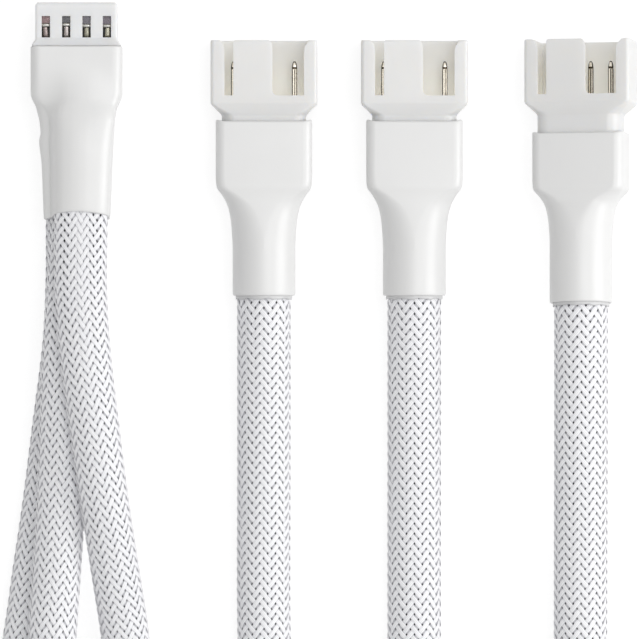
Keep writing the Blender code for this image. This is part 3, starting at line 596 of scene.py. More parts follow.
def braid_nodes():
    """Yarns wound both ways round a path, each passing over two and under two."""
    nodes, inputs, outputs = group(
        "braided_sleeve", "GeometryNodeTree",
        [("Path", GEOMETRY, None), ("Yarns", "NodeSocketInt", YARNS), ("Yarn Width", FLOAT, YARN_WIDTH),
         ("Yarn Crown", FLOAT, YARN_CROWN), ("Weave Depth", FLOAT, WEAVE_DEPTH),
         ("Material", "NodeSocketMaterial", None)],
        [("Braid", GEOMETRY)],
    )
    links = nodes.tree.links
    circle = nodes.add("GeometryNodeCurvePrimitiveCircle", {"Resolution": 3, "Radius": 1.0}, mode="RADIUS")
    corner = nodes.add("ShaderNodeSeparateXYZ", {0: position(nodes)}).outputs
    across = nodes.math("DIVIDE", corner["Y"], math.sin(math.pi / 3))
    profile = keep(nodes, circle.outputs[0], "across", across)
    high = nodes.math("MULTIPLY", nodes.math("DIVIDE", nodes.math("ADD", corner["X"], 0.5), 1.5),
                      inputs["Yarn Crown"])
    wide = nodes.math("MULTIPLY", nodes.math("DIVIDE", corner["Y"], 2 * math.sin(math.pi / 3)),
                      inputs["Yarn Width"])
    place = nodes.add("ShaderNodeCombineXYZ", {0: high, 1: wide}).outputs[0]
    profile = nodes.add("GeometryNodeSetPosition", {"Geometry": profile, "Position": place}).outputs[0]
    path = nodes.add("GeometryNodeMeshToCurve", {0: inputs["Path"]}).outputs[0]
    joined = nodes.add("GeometryNodeJoinGeometry")
    for hand in (1, -1):
        copies = nodes.add(
            "GeometryNodeDuplicateElements", {"Geometry": path, "Amount": inputs["Yarns"]}, domain="SPLINE"
        )
        number = copies.outputs["Duplicate Index"]
        width, depth = read(nodes, "half_width"), read(nodes, "half_depth")
        turn = nodes.math("MULTIPLY", read(nodes, "turn"), float(hand))
        share = nodes.math("MULTIPLY_ADD", number, 2.0, turn)
        start = nodes.math("MULTIPLY", nodes.math("DIVIDE", share, inputs["Yarns"]), math.pi)
        angle = oval_angle(nodes, start, width, depth)
        phase = nodes.math("MULTIPLY", nodes.math("SUBTRACT", share, 0.5), math.pi / 2)
        wave = nodes.math("MULTIPLY", nodes.math("COSINE", phase), 1.6)
        held = nodes.math("MAXIMUM", nodes.math("MINIMUM", wave, 1.0), -1.0)
        over = nodes.math("MULTIPLY", held, float(hand))
        side, up = path_frame(nodes)
        cosine, sine = nodes.math("COSINE", angle), nodes.math("SINE", angle)
        outward = nodes.vector("NORMALIZE", nodes.vector(
            "ADD", nodes.scaled(side, nodes.math("MULTIPLY", depth, cosine)),
            nodes.scaled(up, nodes.math("MULTIPLY", width, sine))))
        ring = nodes.vector("ADD", nodes.scaled(side, nodes.math("MULTIPLY", width, cosine)),
                            nodes.scaled(up, nodes.math("MULTIPLY", depth, sine)))
        lift = nodes.scaled(outward, nodes.math("MULTIPLY", over, inputs["Weave Depth"]))
        curve = keep(nodes, copies.outputs["Geometry"], "outward", outward, "FLOAT_VECTOR")
        curve = keep(nodes, curve, "over", over)
        curve = keep(nodes, curve, "yarn", nodes.math("ADD", number, float(hand)))
        curve = nodes.add("GeometryNodeSetPosition", {
            "Geometry": curve, "Offset": nodes.vector("ADD", ring, lift)}).outputs[0]
        curve = nodes.add("GeometryNodeSetCurveNormal", {
            "Curve": curve, "Normal": read(nodes, "outward", "FLOAT_VECTOR")}, mode="FREE").outputs[0]
        squeezed = nodes.math("MULTIPLY", read(nodes, "spread"),
                              nodes.math("MULTIPLY_ADD", read(nodes, "over"), -0.04, 1.0))
        swept = nodes.add("GeometryNodeCurveToMesh", {
            "Curve": curve, "Profile Curve": profile, "Scale": squeezed, "Fill Caps": True})
        links.new(swept.outputs[0], joined.inputs[0])
    real = nodes.add("GeometryNodeRealizeInstances", {"Geometry": joined.outputs[0]}).outputs[0]
    smooth = nodes.add("GeometryNodeSetShadeSmooth", {"Geometry": real}).outputs[0]
    painted = nodes.add("GeometryNodeSetMaterial", {"Geometry": smooth, "Material": inputs["Material"]})
    links.new(painted.outputs[0], outputs["Braid"])
    return nodes.tree


def lining_nodes():
    """A dark jacket along a path, fluted by the wires that it holds. It fills the sleeve further than the
    real black wires do, so it is also painted shade of the hollow sleeve.
    """
    nodes, inputs, outputs = group(
        "wires_and_shade_lining", "GeometryNodeTree",
        [("Path", GEOMETRY, None), ("Sides", "NodeSocketInt", LINING_SIDES), ("Wires", FLOAT, 4.0),
         ("Flute", FLOAT, 0.05), ("Material", "NodeSocketMaterial", None)],
        [("Lining", GEOMETRY)],
    )
    circle = nodes.add("GeometryNodeCurvePrimitiveCircle", {
        "Resolution": inputs["Sides"], "Radius": 0.0001}, mode="RADIUS").outputs[0]
    corner = nodes.add("ShaderNodeSeparateXYZ", {0: position(nodes)}).outputs
    profile = keep(nodes, circle, "around", nodes.math("ARCTAN2", corner["Y"], corner["X"]))
    curve = nodes.add("GeometryNodeMeshToCurve", {0: inputs["Path"]}).outputs[0]
    side, up = path_frame(nodes)
    curve = keep(nodes, curve, "side", side, "FLOAT_VECTOR")
    curve = keep(nodes, curve, "up", up, "FLOAT_VECTOR")
    curve = keep(nodes, curve, "centre", position(nodes), "FLOAT_VECTOR")
    curve = nodes.add("GeometryNodeSetCurveNormal", {
        "Curve": curve, "Normal": read(nodes, "up", "FLOAT_VECTOR")}, mode="FREE").outputs[0]
    swept = nodes.add("GeometryNodeCurveToMesh", {
        "Curve": curve, "Profile Curve": profile, "Scale": 1.0, "Fill Caps": True}).outputs[0]
    around = read(nodes, "around")
    wound = nodes.math("MULTIPLY_ADD", read(nodes, "turn"), 0.03, around)
    flutes = nodes.math("ABSOLUTE", nodes.math("SINE", nodes.math(
        "MULTIPLY", wound, nodes.math("MULTIPLY", inputs["Wires"], 0.5))))
    dent = nodes.math("MULTIPLY", nodes.math("SUBTRACT", flutes, 1.0), inputs["Flute"])
    swell = nodes.math("ADD", 1.0, dent)
    wide = nodes.math("MULTIPLY", nodes.math("MULTIPLY", read(nodes, "half_width"), swell),
                      nodes.math("SINE", around))
    deep = nodes.math("MULTIPLY", nodes.math("MULTIPLY", read(nodes, "half_depth"), swell),
                      nodes.math("COSINE", around))
    place = nodes.vector("ADD", nodes.scaled(read(nodes, "side", "FLOAT_VECTOR"), wide),
                         nodes.scaled(read(nodes, "up", "FLOAT_VECTOR"), deep))
    place = nodes.vector("ADD", place, read(nodes, "centre", "FLOAT_VECTOR"))
    shaped = nodes.add("GeometryNodeSetPosition", {"Geometry": swept, "Position": place}).outputs[0]
    real = nodes.add("GeometryNodeRealizeInstances", {"Geometry": shaped}).outputs[0]
    smooth = nodes.add("GeometryNodeSetShadeSmooth", {"Geometry": real}).outputs[0]
    painted = nodes.add("GeometryNodeSetMaterial", {"Geometry": smooth, "Material": inputs["Material"]})
    nodes.tree.links.new(painted.outputs[0], outputs["Lining"])
    return nodes.tree


def grown(name, path, tree, values, kept):
    """Run a nodes tree on a path, and keep only the attributes that its material reads."""
    holder = bpy.data.objects.new(name, path)
    bpy.context.scene.collection.objects.link(holder)
    modifier = holder.modifiers.new("grow", "NODES")
    modifier.node_group = tree
    set_inputs(modifier, values)
    mesh = evaluated_mesh(holder)
    for label in [a.name for a in mesh.attributes if not a.is_internal and not a.is_required]:
        if label not in kept and label not in ("sharp_face", "material_index"):
            mesh.attributes.remove(mesh.attributes[label])
    mesh.set_sharp_from_angle(angle=math.radians(75))
    mesh.name = name
    return mesh


def leg(number, route, trees, yarn, insulation):
    """One leg: its braid, and the dark lining that shows through the braid's pinholes: the black wires, and
    painted shade of the hollow sleeve.
    """
    fine, along = smooth_route(route)
    length = along[-1]
    first, last = SLEEVE_COVERED_HOST - SLEEVE_TUCK, length - SLEEVE_COVERED_PORT + SLEEVE_TUCK
    turns, places = leg_turns(fine, along, first, last)
    centres = np.column_stack([np.interp(places, along, fine[:, axis]) for axis in range(3)])
    half_width, half_depth = leg_section(places, length)
    centres[:, 2] -= np.maximum(0.0, model_radius(places, length) - half_depth)
    inset = WEAVE_DEPTH + YARN_CROWN
    braid_path = path_mesh(f"braid_path_{number}", centres, {
        "turn": turns, "half_width": half_width - inset, "half_depth": half_depth - inset,
        "spread": yarn_spread(half_width - inset, half_depth - inset, turns, places)})
    braid = mesh_piece(f"leg_braid_{number}", grown(
        f"leg_braid_{number}", braid_path, trees["braid"], {"Material": yarn}, ("across", "yarn", "over")),
        [yarn])
    chosen = np.unique(np.concatenate([np.arange(0, len(turns), 4), [len(turns) - 1]]))
    below = inset + LINING_BELOW - YARN_CROWN
    lining_path = path_mesh(f"lining_path_{number}", centres[chosen], {
        "turn": turns[chosen], "half_width": (half_width - below)[chosen],
        "half_depth": (half_depth - below)[chosen]})
    lining = mesh_piece(f"leg_lining_{number}", grown(
        f"leg_lining_{number}", lining_path, trees["lining"], {"Material": insulation}, ()),
        [insulation])
    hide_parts(f"leg_sleeve_{number}")
    return braid, lining, centres[chosen]


def rounded_ring(y, half_width, half_depth, corner, steps):
    """A rounded rectangle across the axis, as rows of x, y and z."""
    corner = min(corner, half_width, half_depth)
    angle = np.concatenate([np.linspace(q, q + 1, steps + 1) for q in range(4)]) * math.pi / 2
    quarter = np.repeat(np.arange(4), steps + 1)
    sign_x = np.where((quarter == 0) | (quarter == 3), 1.0, -1.0)
    sign_z = np.where(quarter < 2, 1.0, -1.0)
    x = sign_x * (half_width - corner) + corner * np.cos(angle)
    z = sign_z * (half_depth - corner) + corner * np.sin(angle)
    return np.column_stack([x, np.full_like(x, y), z])


def lofted(rings, wraps=False):
    """A skin over rings of equal count: closed on itself if it wraps, or else by a face at each end."""
    count, around = len(rings), len(rings[0])
    faces = []
    for k in range(count if wraps else count - 1):
        here, there = k * around, (k + 1) % count * around
        for i in range(around):
            j = (i + 1) % around
            faces.append((here + i, here + j, there + j, there + i))
    if not wraps:
        faces.append(tuple(range(around)))
        faces.append(tuple((count - 1) * around + i for i in range(around)))
    mesh = bpy.data.meshes.new("skin")
    mesh.from_pydata(np.concatenate(rings).tolist(), [], faces)
    bm = bmesh.new()
    bm.from_mesh(mesh)
    bmesh.ops.remove_doubles(bm, verts=bm.verts, dist=1e-7)
    bmesh.ops.recalc_face_normals(bm, faces=bm.faces)
    bm.to_mesh(mesh)
    bm.free()
    return mesh


def outline_prism(outline, low_z, high_z):
    """An outline in x and y as a solid between two heights."""
    low = np.array([(x, y, low_z) for x, y in outline])
    high = np.array([(x, y, high_z) for x, y in outline])
    return lofted([low, high])


def arc(centre, radius_x, radius_y, start, end, steps=6):
    """Points on a quarter or other stretch of an oval, with its angles in degrees."""
    angles = np.radians(np.linspace(start, end, steps + 1))
    return [(centre[0] + radius_x * math.cos(a), centre[1] + radius_y * math.sin(a)) for a in angles]


def box_mesh(low, high):
    ring = [(low[0], low[2]), (high[0], low[2]), (high[0], high[2]), (low[0], high[2])]
    return lofted([np.array([(x, y, z) for x, z in ring]) for y in (low[1], high[1])])


def carved(mesh, cutters, edge, joined=()):
    """Cut shapes from a mesh, join others to it, and round its edges."""
    holder = bpy.data.objects.new("carved", mesh)
    bpy.context.scene.collection.objects.link(holder)
    helpers = []
    for operation, shapes in (("UNION", joined), ("DIFFERENCE", cutters)):
        for shape in shapes:
            helper = bpy.data.objects.new("cutter", shape)
            bpy.context.scene.collection.objects.link(helper)
            helper.hide_render = True
            helpers.append(helper)
            step = holder.modifiers.new(operation, "BOOLEAN")
            step.operation = operation
            step.solver = "EXACT"
            step.object = helper
    made = evaluated_mesh(holder)
    for helper in helpers:
        bpy.data.objects.remove(helper)
    bm = bmesh.new()
    bm.from_mesh(made)
    bmesh.ops.remove_doubles(bm, verts=bm.verts, dist=1e-6)
    bmesh.ops.dissolve_limit(bm, angle_limit=math.radians(0.5), verts=bm.verts, edges=bm.edges)
    bm.to_mesh(made)
    bm.free()
    return rounded_edges(made, edge)


def rounded_edges(mesh, width, angle=35.0):
    """Round a mesh's sharp edges a little, with its flat faces shaded flat."""
    mesh.shade_smooth()
    holder = bpy.data.objects.new("rounded", mesh)
    bpy.context.scene.collection.objects.link(holder)
    bevel = holder.modifiers.new("edge", "BEVEL")
    bevel.width = width
    bevel.segments = 2
    bevel.limit_method = "ANGLE"
    bevel.angle_limit = math.radians(angle)
    bevel.use_clamp_overlap = True
    holder.modifiers.new("even", "WEIGHTED_NORMAL")
    return evaluated_mesh(holder)


def corners_of(mesh):
    found = np.zeros(len(mesh.vertices) * 3, np.float32)
    mesh.vertices.foreach_get("co", found)
    return found.reshape(-1, 3)


# How far a cutter runs past what it cuts.
OVERRUN = 0.001

# The plug, from the model's boxes.
plug_low, plug_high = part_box("plug_housing")
boot_low, boot_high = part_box("plug_boot")
PLUG_AXIS_Z = (boot_low.z + boot_high.z) / 2
PLUG_FRONT = plug_high.y
PLUG_TAIL_END = plug_low.y
PLUG_HALF_DEPTH = 0.0023
PLUG_COLLAR_FLARE = 0.00042
PLUG_HALF_WIDTH = (plug_high.x - plug_low.x) / 2 - PLUG_COLLAR_FLARE
PLUG_COLLAR_TOP = 0.00915
PLUG_COLLAR_BASE = 0.00812
PLUG_TAIL_HALF = PLUG_HALF_WIDTH - 0.00006
PLUG_CORNER = 0.0003
PLUG_FRONT_WALL = 0.00065
WINDOW_HALF = 0.00052
WINDOW_TOP = PLUG_COLLAR_TOP + 0.00268
CHANNEL_HALF_WIDTH = 0.00095
CHANNEL_HALF_HEIGHT = 0.0017
SOCKET_HALF = 0.00045
RIB_X = (0.00075 - PLUG_HALF_WIDTH, 0.00674 - PLUG_HALF_WIDTH)
RIB_WIDTH = 0.001
RIB_HEIGHT = 0.0009


def plug_shell(nylon):
    """The plug's housing: a bevelled nose, a flared collar, four windows and four sockets."""
    wide, deep, corner = PLUG_HALF_WIDTH, PLUG_HALF_DEPTH, PLUG_CORNER
    flare = PLUG_COLLAR_FLARE
    stations = (
        (PLUG_FRONT, wide - 0.00026, deep - 0.0003),
        (PLUG_FRONT - 0.00034, wide, deep),
        (PLUG_COLLAR_TOP + 0.0001, wide, deep),
        (PLUG_COLLAR_TOP - 0.0002, wide + 0.05 * flare, deep + 0.05 * flare),
        (PLUG_COLLAR_BASE + 0.0001, wide + flare, deep + flare),
        (PLUG_COLLAR_BASE, wide + flare, deep + flare),
        (PLUG_COLLAR_BASE, PLUG_TAIL_HALF, deep),
        (PLUG_TAIL_END, PLUG_TAIL_HALF, deep),
    )
    body = lofted([rounded_ring(y, w, d, corner, 4) for y, w, d in stations])
    ribs = [
        box_mesh((x - RIB_WIDTH / 2, PLUG_COLLAR_TOP - 0.00045, -deep - RIB_HEIGHT),
                 (x + RIB_WIDTH / 2, PLUG_FRONT - 0.0005, -deep + corner))
        for x in RIB_X
    ]
    cutters = []
    channel_front = PLUG_FRONT - PLUG_FRONT_WALL
    for x in CONTACT_X:
        cutters.append(box_mesh((x - CHANNEL_HALF_WIDTH, PLUG_TAIL_END - OVERRUN, -CHANNEL_HALF_HEIGHT),
                                (x + CHANNEL_HALF_WIDTH, channel_front, CHANNEL_HALF_HEIGHT)))
        cutters.append(box_mesh((x - SOCKET_HALF, channel_front - 0.0005, -SOCKET_HALF),
                                (x + SOCKET_HALF, PLUG_FRONT + OVERRUN, SOCKET_HALF)))
        cutters.append(box_mesh((x - WINDOW_HALF, PLUG_COLLAR_TOP, 0.0),
                                (x + WINDOW_HALF, WINDOW_TOP, deep + OVERRUN)))
    mesh = carved(body, cutters, 0.00006, joined=ribs)
    place = corners_of(mesh)
    inside = (np.abs(place[:, 2]) < CHANNEL_HALF_HEIGHT + 0.00002) & (place[:, 1] < channel_front + 0.0001)
    near = np.min(np.abs(place[:, :1] - np.array(CONTACT_X)), axis=1) < CHANNEL_HALF_WIDTH + 0.00002
    # Inside the channels, a share of the nylon's painted warm glow: painted light.
    set_values(mesh, "pocket", 0.3 * (inside & near))
    mesh.transform(Matrix.Translation((0, 0, PLUG_AXIS_Z)))
    piece = mesh_piece("plug_shell", mesh, [nylon])
    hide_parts("plug_housing")


# The terminals behind the windows. Their sheets and tangs are darker copies of the lip's bright metal:
# painted shade in the windows, tinted a little differently for each terminal. Each one's lip and tang also
# sit a little differently.
TERMINAL_HALF_WIDTH = 0.00065
TERMINAL_FRONT = PLUG_FRONT - PLUG_FRONT_WALL - 0.0003
TERMINAL_BOX_END = TERMINAL_FRONT - 0.0046
TERMINAL_END = TERMINAL_BOX_END - 0.0045
CRIMP_HALF_WIDTH = 0.000585
CRIMP_BELOW = 0.00126
CRIMP_ABOVE = 0.00077
TERMINAL_LOOKS = {
    "ground": {"sheet": (0.30, 0.21, 0.215), "tang": (0.37, 0.31, 0.30), "lip": 0.01072, "lean": 5.0},
    "power": {"sheet": (0.15, 0.15, 0.16), "tang": (0.50, 0.455, 0.44), "lip": 0.01078, "lean": 0.0},
    "speed": {"sheet": (0.19, 0.18, 0.20), "tang": (0.40, 0.385, 0.31), "lip": 0.01064, "lean": 0.0},
    "control": {"sheet": (0.20, 0.18, 0.205), "tang": (0.48, 0.465, 0.375), "lip": 0.01062, "lean": -4.0},
}


def plug_terminal(label, x, tarnish):
    """A stamped terminal: spring box, folded lip, arched tang and the crimp behind."""
    look = TERMINAL_LOOKS[label]
    sheet = terminal_material(tarnish, f"terminal_{label}_sheet", look["sheet"])
    bright = terminal_material(tarnish, f"terminal_{label}_lip", (0.92, 0.91, 0.86))
    tang = terminal_material(tarnish, f"terminal_{label}_tang", look["tang"])
    # The hollow under the lip is near-black: painted shade of the recess.
    dark = terminal_material(tarnish, f"terminal_{label}_hollow_shade", (0.03, 0.03, 0.028))
    half, lip_y = TERMINAL_HALF_WIDTH, look["lip"]
    parts = [
        (box_mesh((-half, lip_y, -0.0014), (half, TERMINAL_FRONT, 0.00112)), sheet),
        (box_mesh((-half, TERMINAL_BOX_END, -0.0014), (half, lip_y - 0.00001, 0.00060)), dark),
        (box_mesh((-CRIMP_HALF_WIDTH, TERMINAL_END, -CRIMP_BELOW),
                  (CRIMP_HALF_WIDTH, TERMINAL_BOX_END - 0.00001, CRIMP_ABOVE)), sheet),
    ]
    lip = lofted([
        np.array([(s * half, lip_y + 0.00025 * math.cos(a), 0.00112 + 0.00022 * math.sin(a))
                  for a in np.linspace(0, 2 * math.pi, 17)[:-1]])
        for s in (-1, 1)
    ])
    parts.append((lip, bright))
    top, foot, wide = lip_y - 0.00016, PLUG_COLLAR_TOP + 0.00004, 0.00031
    outline = [(wide, foot), *arc((0, top - wide), wide, wide, 0, 180, 8), (-wide, foot)]
    parts.append((outline_prism(outline, 0.00072, 0.00104), tang))
    joined = bmesh.new()
    materials = []
    for shape, made in parts:
        shape = rounded_edges(shape, 0.00005)
        centre = corners_of(shape)[:, 0]
        far = np.abs(centre) / max(np.abs(centre).max(), 1e-6)
        # Each part darkens towards its sides: painted shade.
        set_values(shape, "edge", np.clip((far - 0.75) * 2.0, 0.0, 0.5))
        if made is tang:
            lean = Matrix.Rotation(math.radians(look["lean"]), 4, "Z")
            shape.transform(Matrix.Translation((0, foot, 0)) @ lean @ Matrix.Translation((0, -foot, 0)))
        if made not in materials:
            materials.append(made)
        for face in shape.polygons:
            face.material_index = materials.index(made)
        joined.from_mesh(shape)
        bpy.data.meshes.remove(shape)
    mesh = bpy.data.meshes.new(f"terminal_{label}")
    for made in materials:
        mesh.materials.append(made)
    joined.to_mesh(mesh)
    joined.free()
    mesh.transform(Matrix.Translation((x, 0, PLUG_AXIS_Z)))
    piece = mesh_piece(f"terminal_{label}", mesh, [])
    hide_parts(f"plug_terminal_{label}")


# The plug's boot: a flat body over the housing's tail, drawn down over three stacked sleeves.
BOOT_WALL = 0.00045
BOOT_CLEARANCE = 0.0003
HOST_BOOT_FRONT = PLUG_COLLAR_BASE + 0.00004
HOST_BOOT_RIM = boot_low.y - 0.0001
HOST_BODY_HALF_WIDTH = (boot_high.x - boot_low.x) / 2
HOST_BODY_HALF_DEPTH = PLUG_HALF_DEPTH + BOOT_CLEARANCE + BOOT_WALL
HOST_BODY_CORNER = 0.0012
HOST_RIM_ARCH = 0.001
# Half of the drawn-in section, in x and height: the lower sleeve's side stands out at the left, a
# sharp fold runs above it, and the upper sleeve swells over both. The other half is the same, turned.
STACK_SECTION = (
    (-0.00442, 0.0), (-0.00442, 0.00075), (-0.00436, 0.00120), (-0.00416, 0.00151), (-0.00386, 0.00168),
    (-0.00337, 0.00181), (-0.00328, 0.00202), (-0.00314, 0.0026), (-0.00295, 0.00325),
    (-0.00270, 0.0039), (-0.00238, 0.00443), (-0.00185, 0.00483), (-0.0010, 0.00511), (0.0, 0.00527),
    (0.00075, 0.0053), (0.0018, 0.00523), (0.0028, 0.00506), (0.0035, 0.00474), (0.0040, 0.0043),
    (0.00431, 0.0038), (0.00446, 0.0032), (0.00448, 0.0025), (0.00440, 0.0017), (0.00430, 0.0009),
)
BOOT_SIDES = 216
# Along the boot: the shares of the way from the flat body to the drawn-in stack, across and in height,
# and the x of both edges.
HOST_CHANGE = (
    (0.0085, 0.0, 0.0), (0.0058, 0.0, 0.02), (0.0040, 0.0, 0.12), (0.0024, 0.0, 0.28),
    (0.0015, 0.07, 0.40), (0.0009, 0.36, 0.49), (0.0003, 0.72, 0.58), (-0.0004, 0.92, 0.67),
    (-0.0012, 1.0, 0.76), (-0.0030, 1.0, 0.90), (-0.0056, 1.0, 1.0), (-0.0140, 1.0, 1.0),
)
HOST_OUTLINE = (
    (0.0085, -0.00572, 0.00572), (0.0021, -0.00572, 0.00571), (0.0014, -0.00554, 0.00554),
    (0.0005, -0.00510, 0.00514), (0.0, -0.00496, 0.00498), (-0.0014, -0.00470, 0.00482),
    (-0.0029, -0.00456, 0.00473), (-0.0034, -0.00470, 0.00470), (-0.0038, -0.00476, 0.00468),
    (-0.0045, -0.00469, 0.00464), (-0.0067, -0.00442, 0.00453), (-0.0101, -0.00428, 0.00441),
    (-0.0140, -0.00412, 0.00422),
)


def body_reach(angle, half_width, half_depth, corner):
    """How far a rounded rectangle reaches from its middle in each direction."""
    facing = np.linspace(0, 2 * math.pi, 720, endpoint=False)
    support = (
        (half_width - corner) * np.abs(np.cos(facing))
        + (half_depth - corner) * np.abs(np.sin(facing)) + corner
    )
    return reach_of_support(angle, facing, support)


def reach_of_support(angle, facing, support):
    """How far the convex shape with this support reaches in each direction."""
    cosine = np.cos(facing[None, :] - angle[:, None])
    reach = np.where(cosine > 0.02, support[None, :] / np.maximum(cosine, 0.02), np.inf)
    return reach.min(axis=1)


def stack_reach(angle):
    """How far a tight skin round three stacked sleeves reaches in each direction."""
    half = np.array(STACK_SECTION)
    section = np.vstack([half, -half])
    facing = np.arctan2(section[:, 1], section[:, 0]) % (2 * math.pi)
    order = np.argsort(facing)
    reach = np.interp(angle, facing[order], np.hypot(*section.T)[order], period=2 * math.pi)
    return sum(weight * np.roll(reach, k) for weight, k in zip((0.08, 0.24, 0.36, 0.24, 0.08), range(-2, 3)))


def walled_rings(ring, count, past_rim=()):
    """A boot's rings: outside, round its rim, what stands past the rim, back inside, and round its front."""
    turn = np.linspace(0, math.pi, 7)[1:-1]
    round_off, last = BOOT_WALL / 2, count - 1
    return [
        *(ring(k, 0.0) for k in range(count)),
        *(ring(last, round_off * (1 - math.cos(t)), -round_off * math.sin(t)) for t in turn),
        *past_rim,
        *(ring(k, BOOT_WALL) for k in range(last, -1, -1)),
        *(ring(0, round_off * (1 + math.cos(t)), round_off * math.sin(t)) for t in turn),
    ]


def host_boot(shrink):
    """The plug's boot, as reaches round the plug's axis at each place along it."""
    angle = np.linspace(0, 2 * math.pi, BOOT_SIDES, endpoint=False)
    body = body_reach(angle, HOST_BODY_HALF_WIDTH, HOST_BODY_HALF_DEPTH, HOST_BODY_CORNER)
    stack = stack_reach(angle)
    places = np.concatenate([
        np.linspace(HOST_BOOT_FRONT - 0.0003, 0.0026, 12), np.linspace(0.0024, -0.0026, 26),
        np.linspace(-0.0029, HOST_BOOT_RIM + 0.0003, 26),
    ])
    shares, edges = flow(HOST_CHANGE, places), flow(HOST_OUTLINE, places)
    arch = HOST_RIM_ARCH * np.sin(angle) ** 2
    forward = ease((0.002 - places) / (0.002 - HOST_BOOT_RIM))

    def ring(k, inward, shift=0.0):
        across, tall = (body + (stack - body) * share for share in shares[k])
        x, z = across * np.cos(angle), tall * np.sin(angle)
        spare = np.where(x < 0, (edges[k, 0] - x.min()) * (x / x.min()) ** 4, x * (edges[k, 1] / x.max() - 1))
        thin = 1 - inward / np.hypot(x, z)
        y = places[k] + shift + arch * forward[k]
        return np.column_stack([(x + spare) * thin, y, z * thin])

    mesh = lofted(walled_rings(ring, len(places)), wraps=True)
    mesh.shade_smooth()
    mesh.transform(Matrix.Translation((0, 0, PLUG_AXIS_Z)))
    piece = mesh_piece("plug_shrink", mesh, [shrink])
    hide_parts("plug_boot")


# The headers, from the first one's box.
port_low, port_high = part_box("fan_port_1_housing")
PORT_MOUTH = port_high.y
PORT_HALF_WIDTH = (port_high.x - port_low.x) / 2
PORT_HALF_DEPTH = (port_high.z - port_low.z) / 2
PORT_TAIL_END = port_low.y
PORT_SIDE_WALL = 0.00134
PORT_FACE_WALL = 0.0007
POCKET_HALF_WIDTH = PORT_HALF_WIDTH - PORT_SIDE_WALL
POCKET_HALF_DEPTH = PORT_HALF_DEPTH - PORT_FACE_WALL
POCKET_FLOOR = PORT_MOUTH - 0.0069
PORT_BODY_END = POCKET_FLOOR - 0.00104
PORT_NECK = PORT_BODY_END - 0.0014
PORT_TAIL_HALF_WIDTH = 0.005275
PORT_TAIL_HALF_DEPTH = 0.00285
PORT_TAIL_CORNER = 0.00165
SLOT_CLEARANCE = 0.000055
SLOT_LIP = 0.00034
SLOT_CORNER = 0.00012
SLOT_TURN = 0.00028
SLOT_FLARE = (0.00078, 0.00156)
OPENING_CORNER = 0.0007
OPENING_TURN = (0.0005, 0.0013)
OPENING_FLARE = (0.0013, 0.00145)
PORT_CORNER = 0.00045
POCKET_CORNER = 0.0002
POCKET_LEAD = 0.00028
WIRE_BORE = 0.0009


def slot_outlines():
    """The narrow slot and the wide opening in a shroud's face, flared at the mouth by round corners."""
    above, floor, mouth = PORT_MOUTH + OVERRUN, POCKET_FLOOR, PORT_MOUTH
    reach = RIB_WIDTH / 2 + SLOT_CLEARANCE
    left, right = RIB_X[0] - reach, RIB_X[0] + reach
    slot = [
        *arc((left + SLOT_CORNER, floor + SLOT_CORNER), SLOT_CORNER, SLOT_CORNER, 180, 270, 3),
        *arc((right - SLOT_CORNER, floor + SLOT_CORNER), SLOT_CORNER, SLOT_CORNER, 270, 360, 3),
        *arc((right + SLOT_TURN, mouth - SLOT_TURN), SLOT_TURN, SLOT_TURN, 180, 90, 5),
        (right + SLOT_TURN, above), (left - SLOT_FLARE[0], above),
        *arc((left - SLOT_FLARE[0], mouth - SLOT_FLARE[1]), *SLOT_FLARE, 90, 0, 8),
    ]
    left, right = RIB_X[1] - reach, POCKET_HALF_WIDTH - SLOT_LIP
    opening = [
        *arc((left + OPENING_CORNER, floor + OPENING_CORNER), OPENING_CORNER, OPENING_CORNER, 180, 270, 6),
        (right, floor),
        *arc((right + OPENING_FLARE[0], mouth - OPENING_FLARE[1]), *OPENING_FLARE, 180, 90, 8),
        (right + OPENING_FLARE[0], above), (left - OPENING_TURN[0], above),
        *arc((left - OPENING_TURN[0], mouth - OPENING_TURN[1]), *OPENING_TURN, 90, 0, 8),
    ]
    return slot, opening


def port_place(port):
    turned = Euler((math.radians(port["pitch"]), math.radians(port["roll"]), 0.0), "YXZ").to_matrix().to_4x4()
    return Matrix.Translation((port["x"], 0.0, port["z"])) @ turned


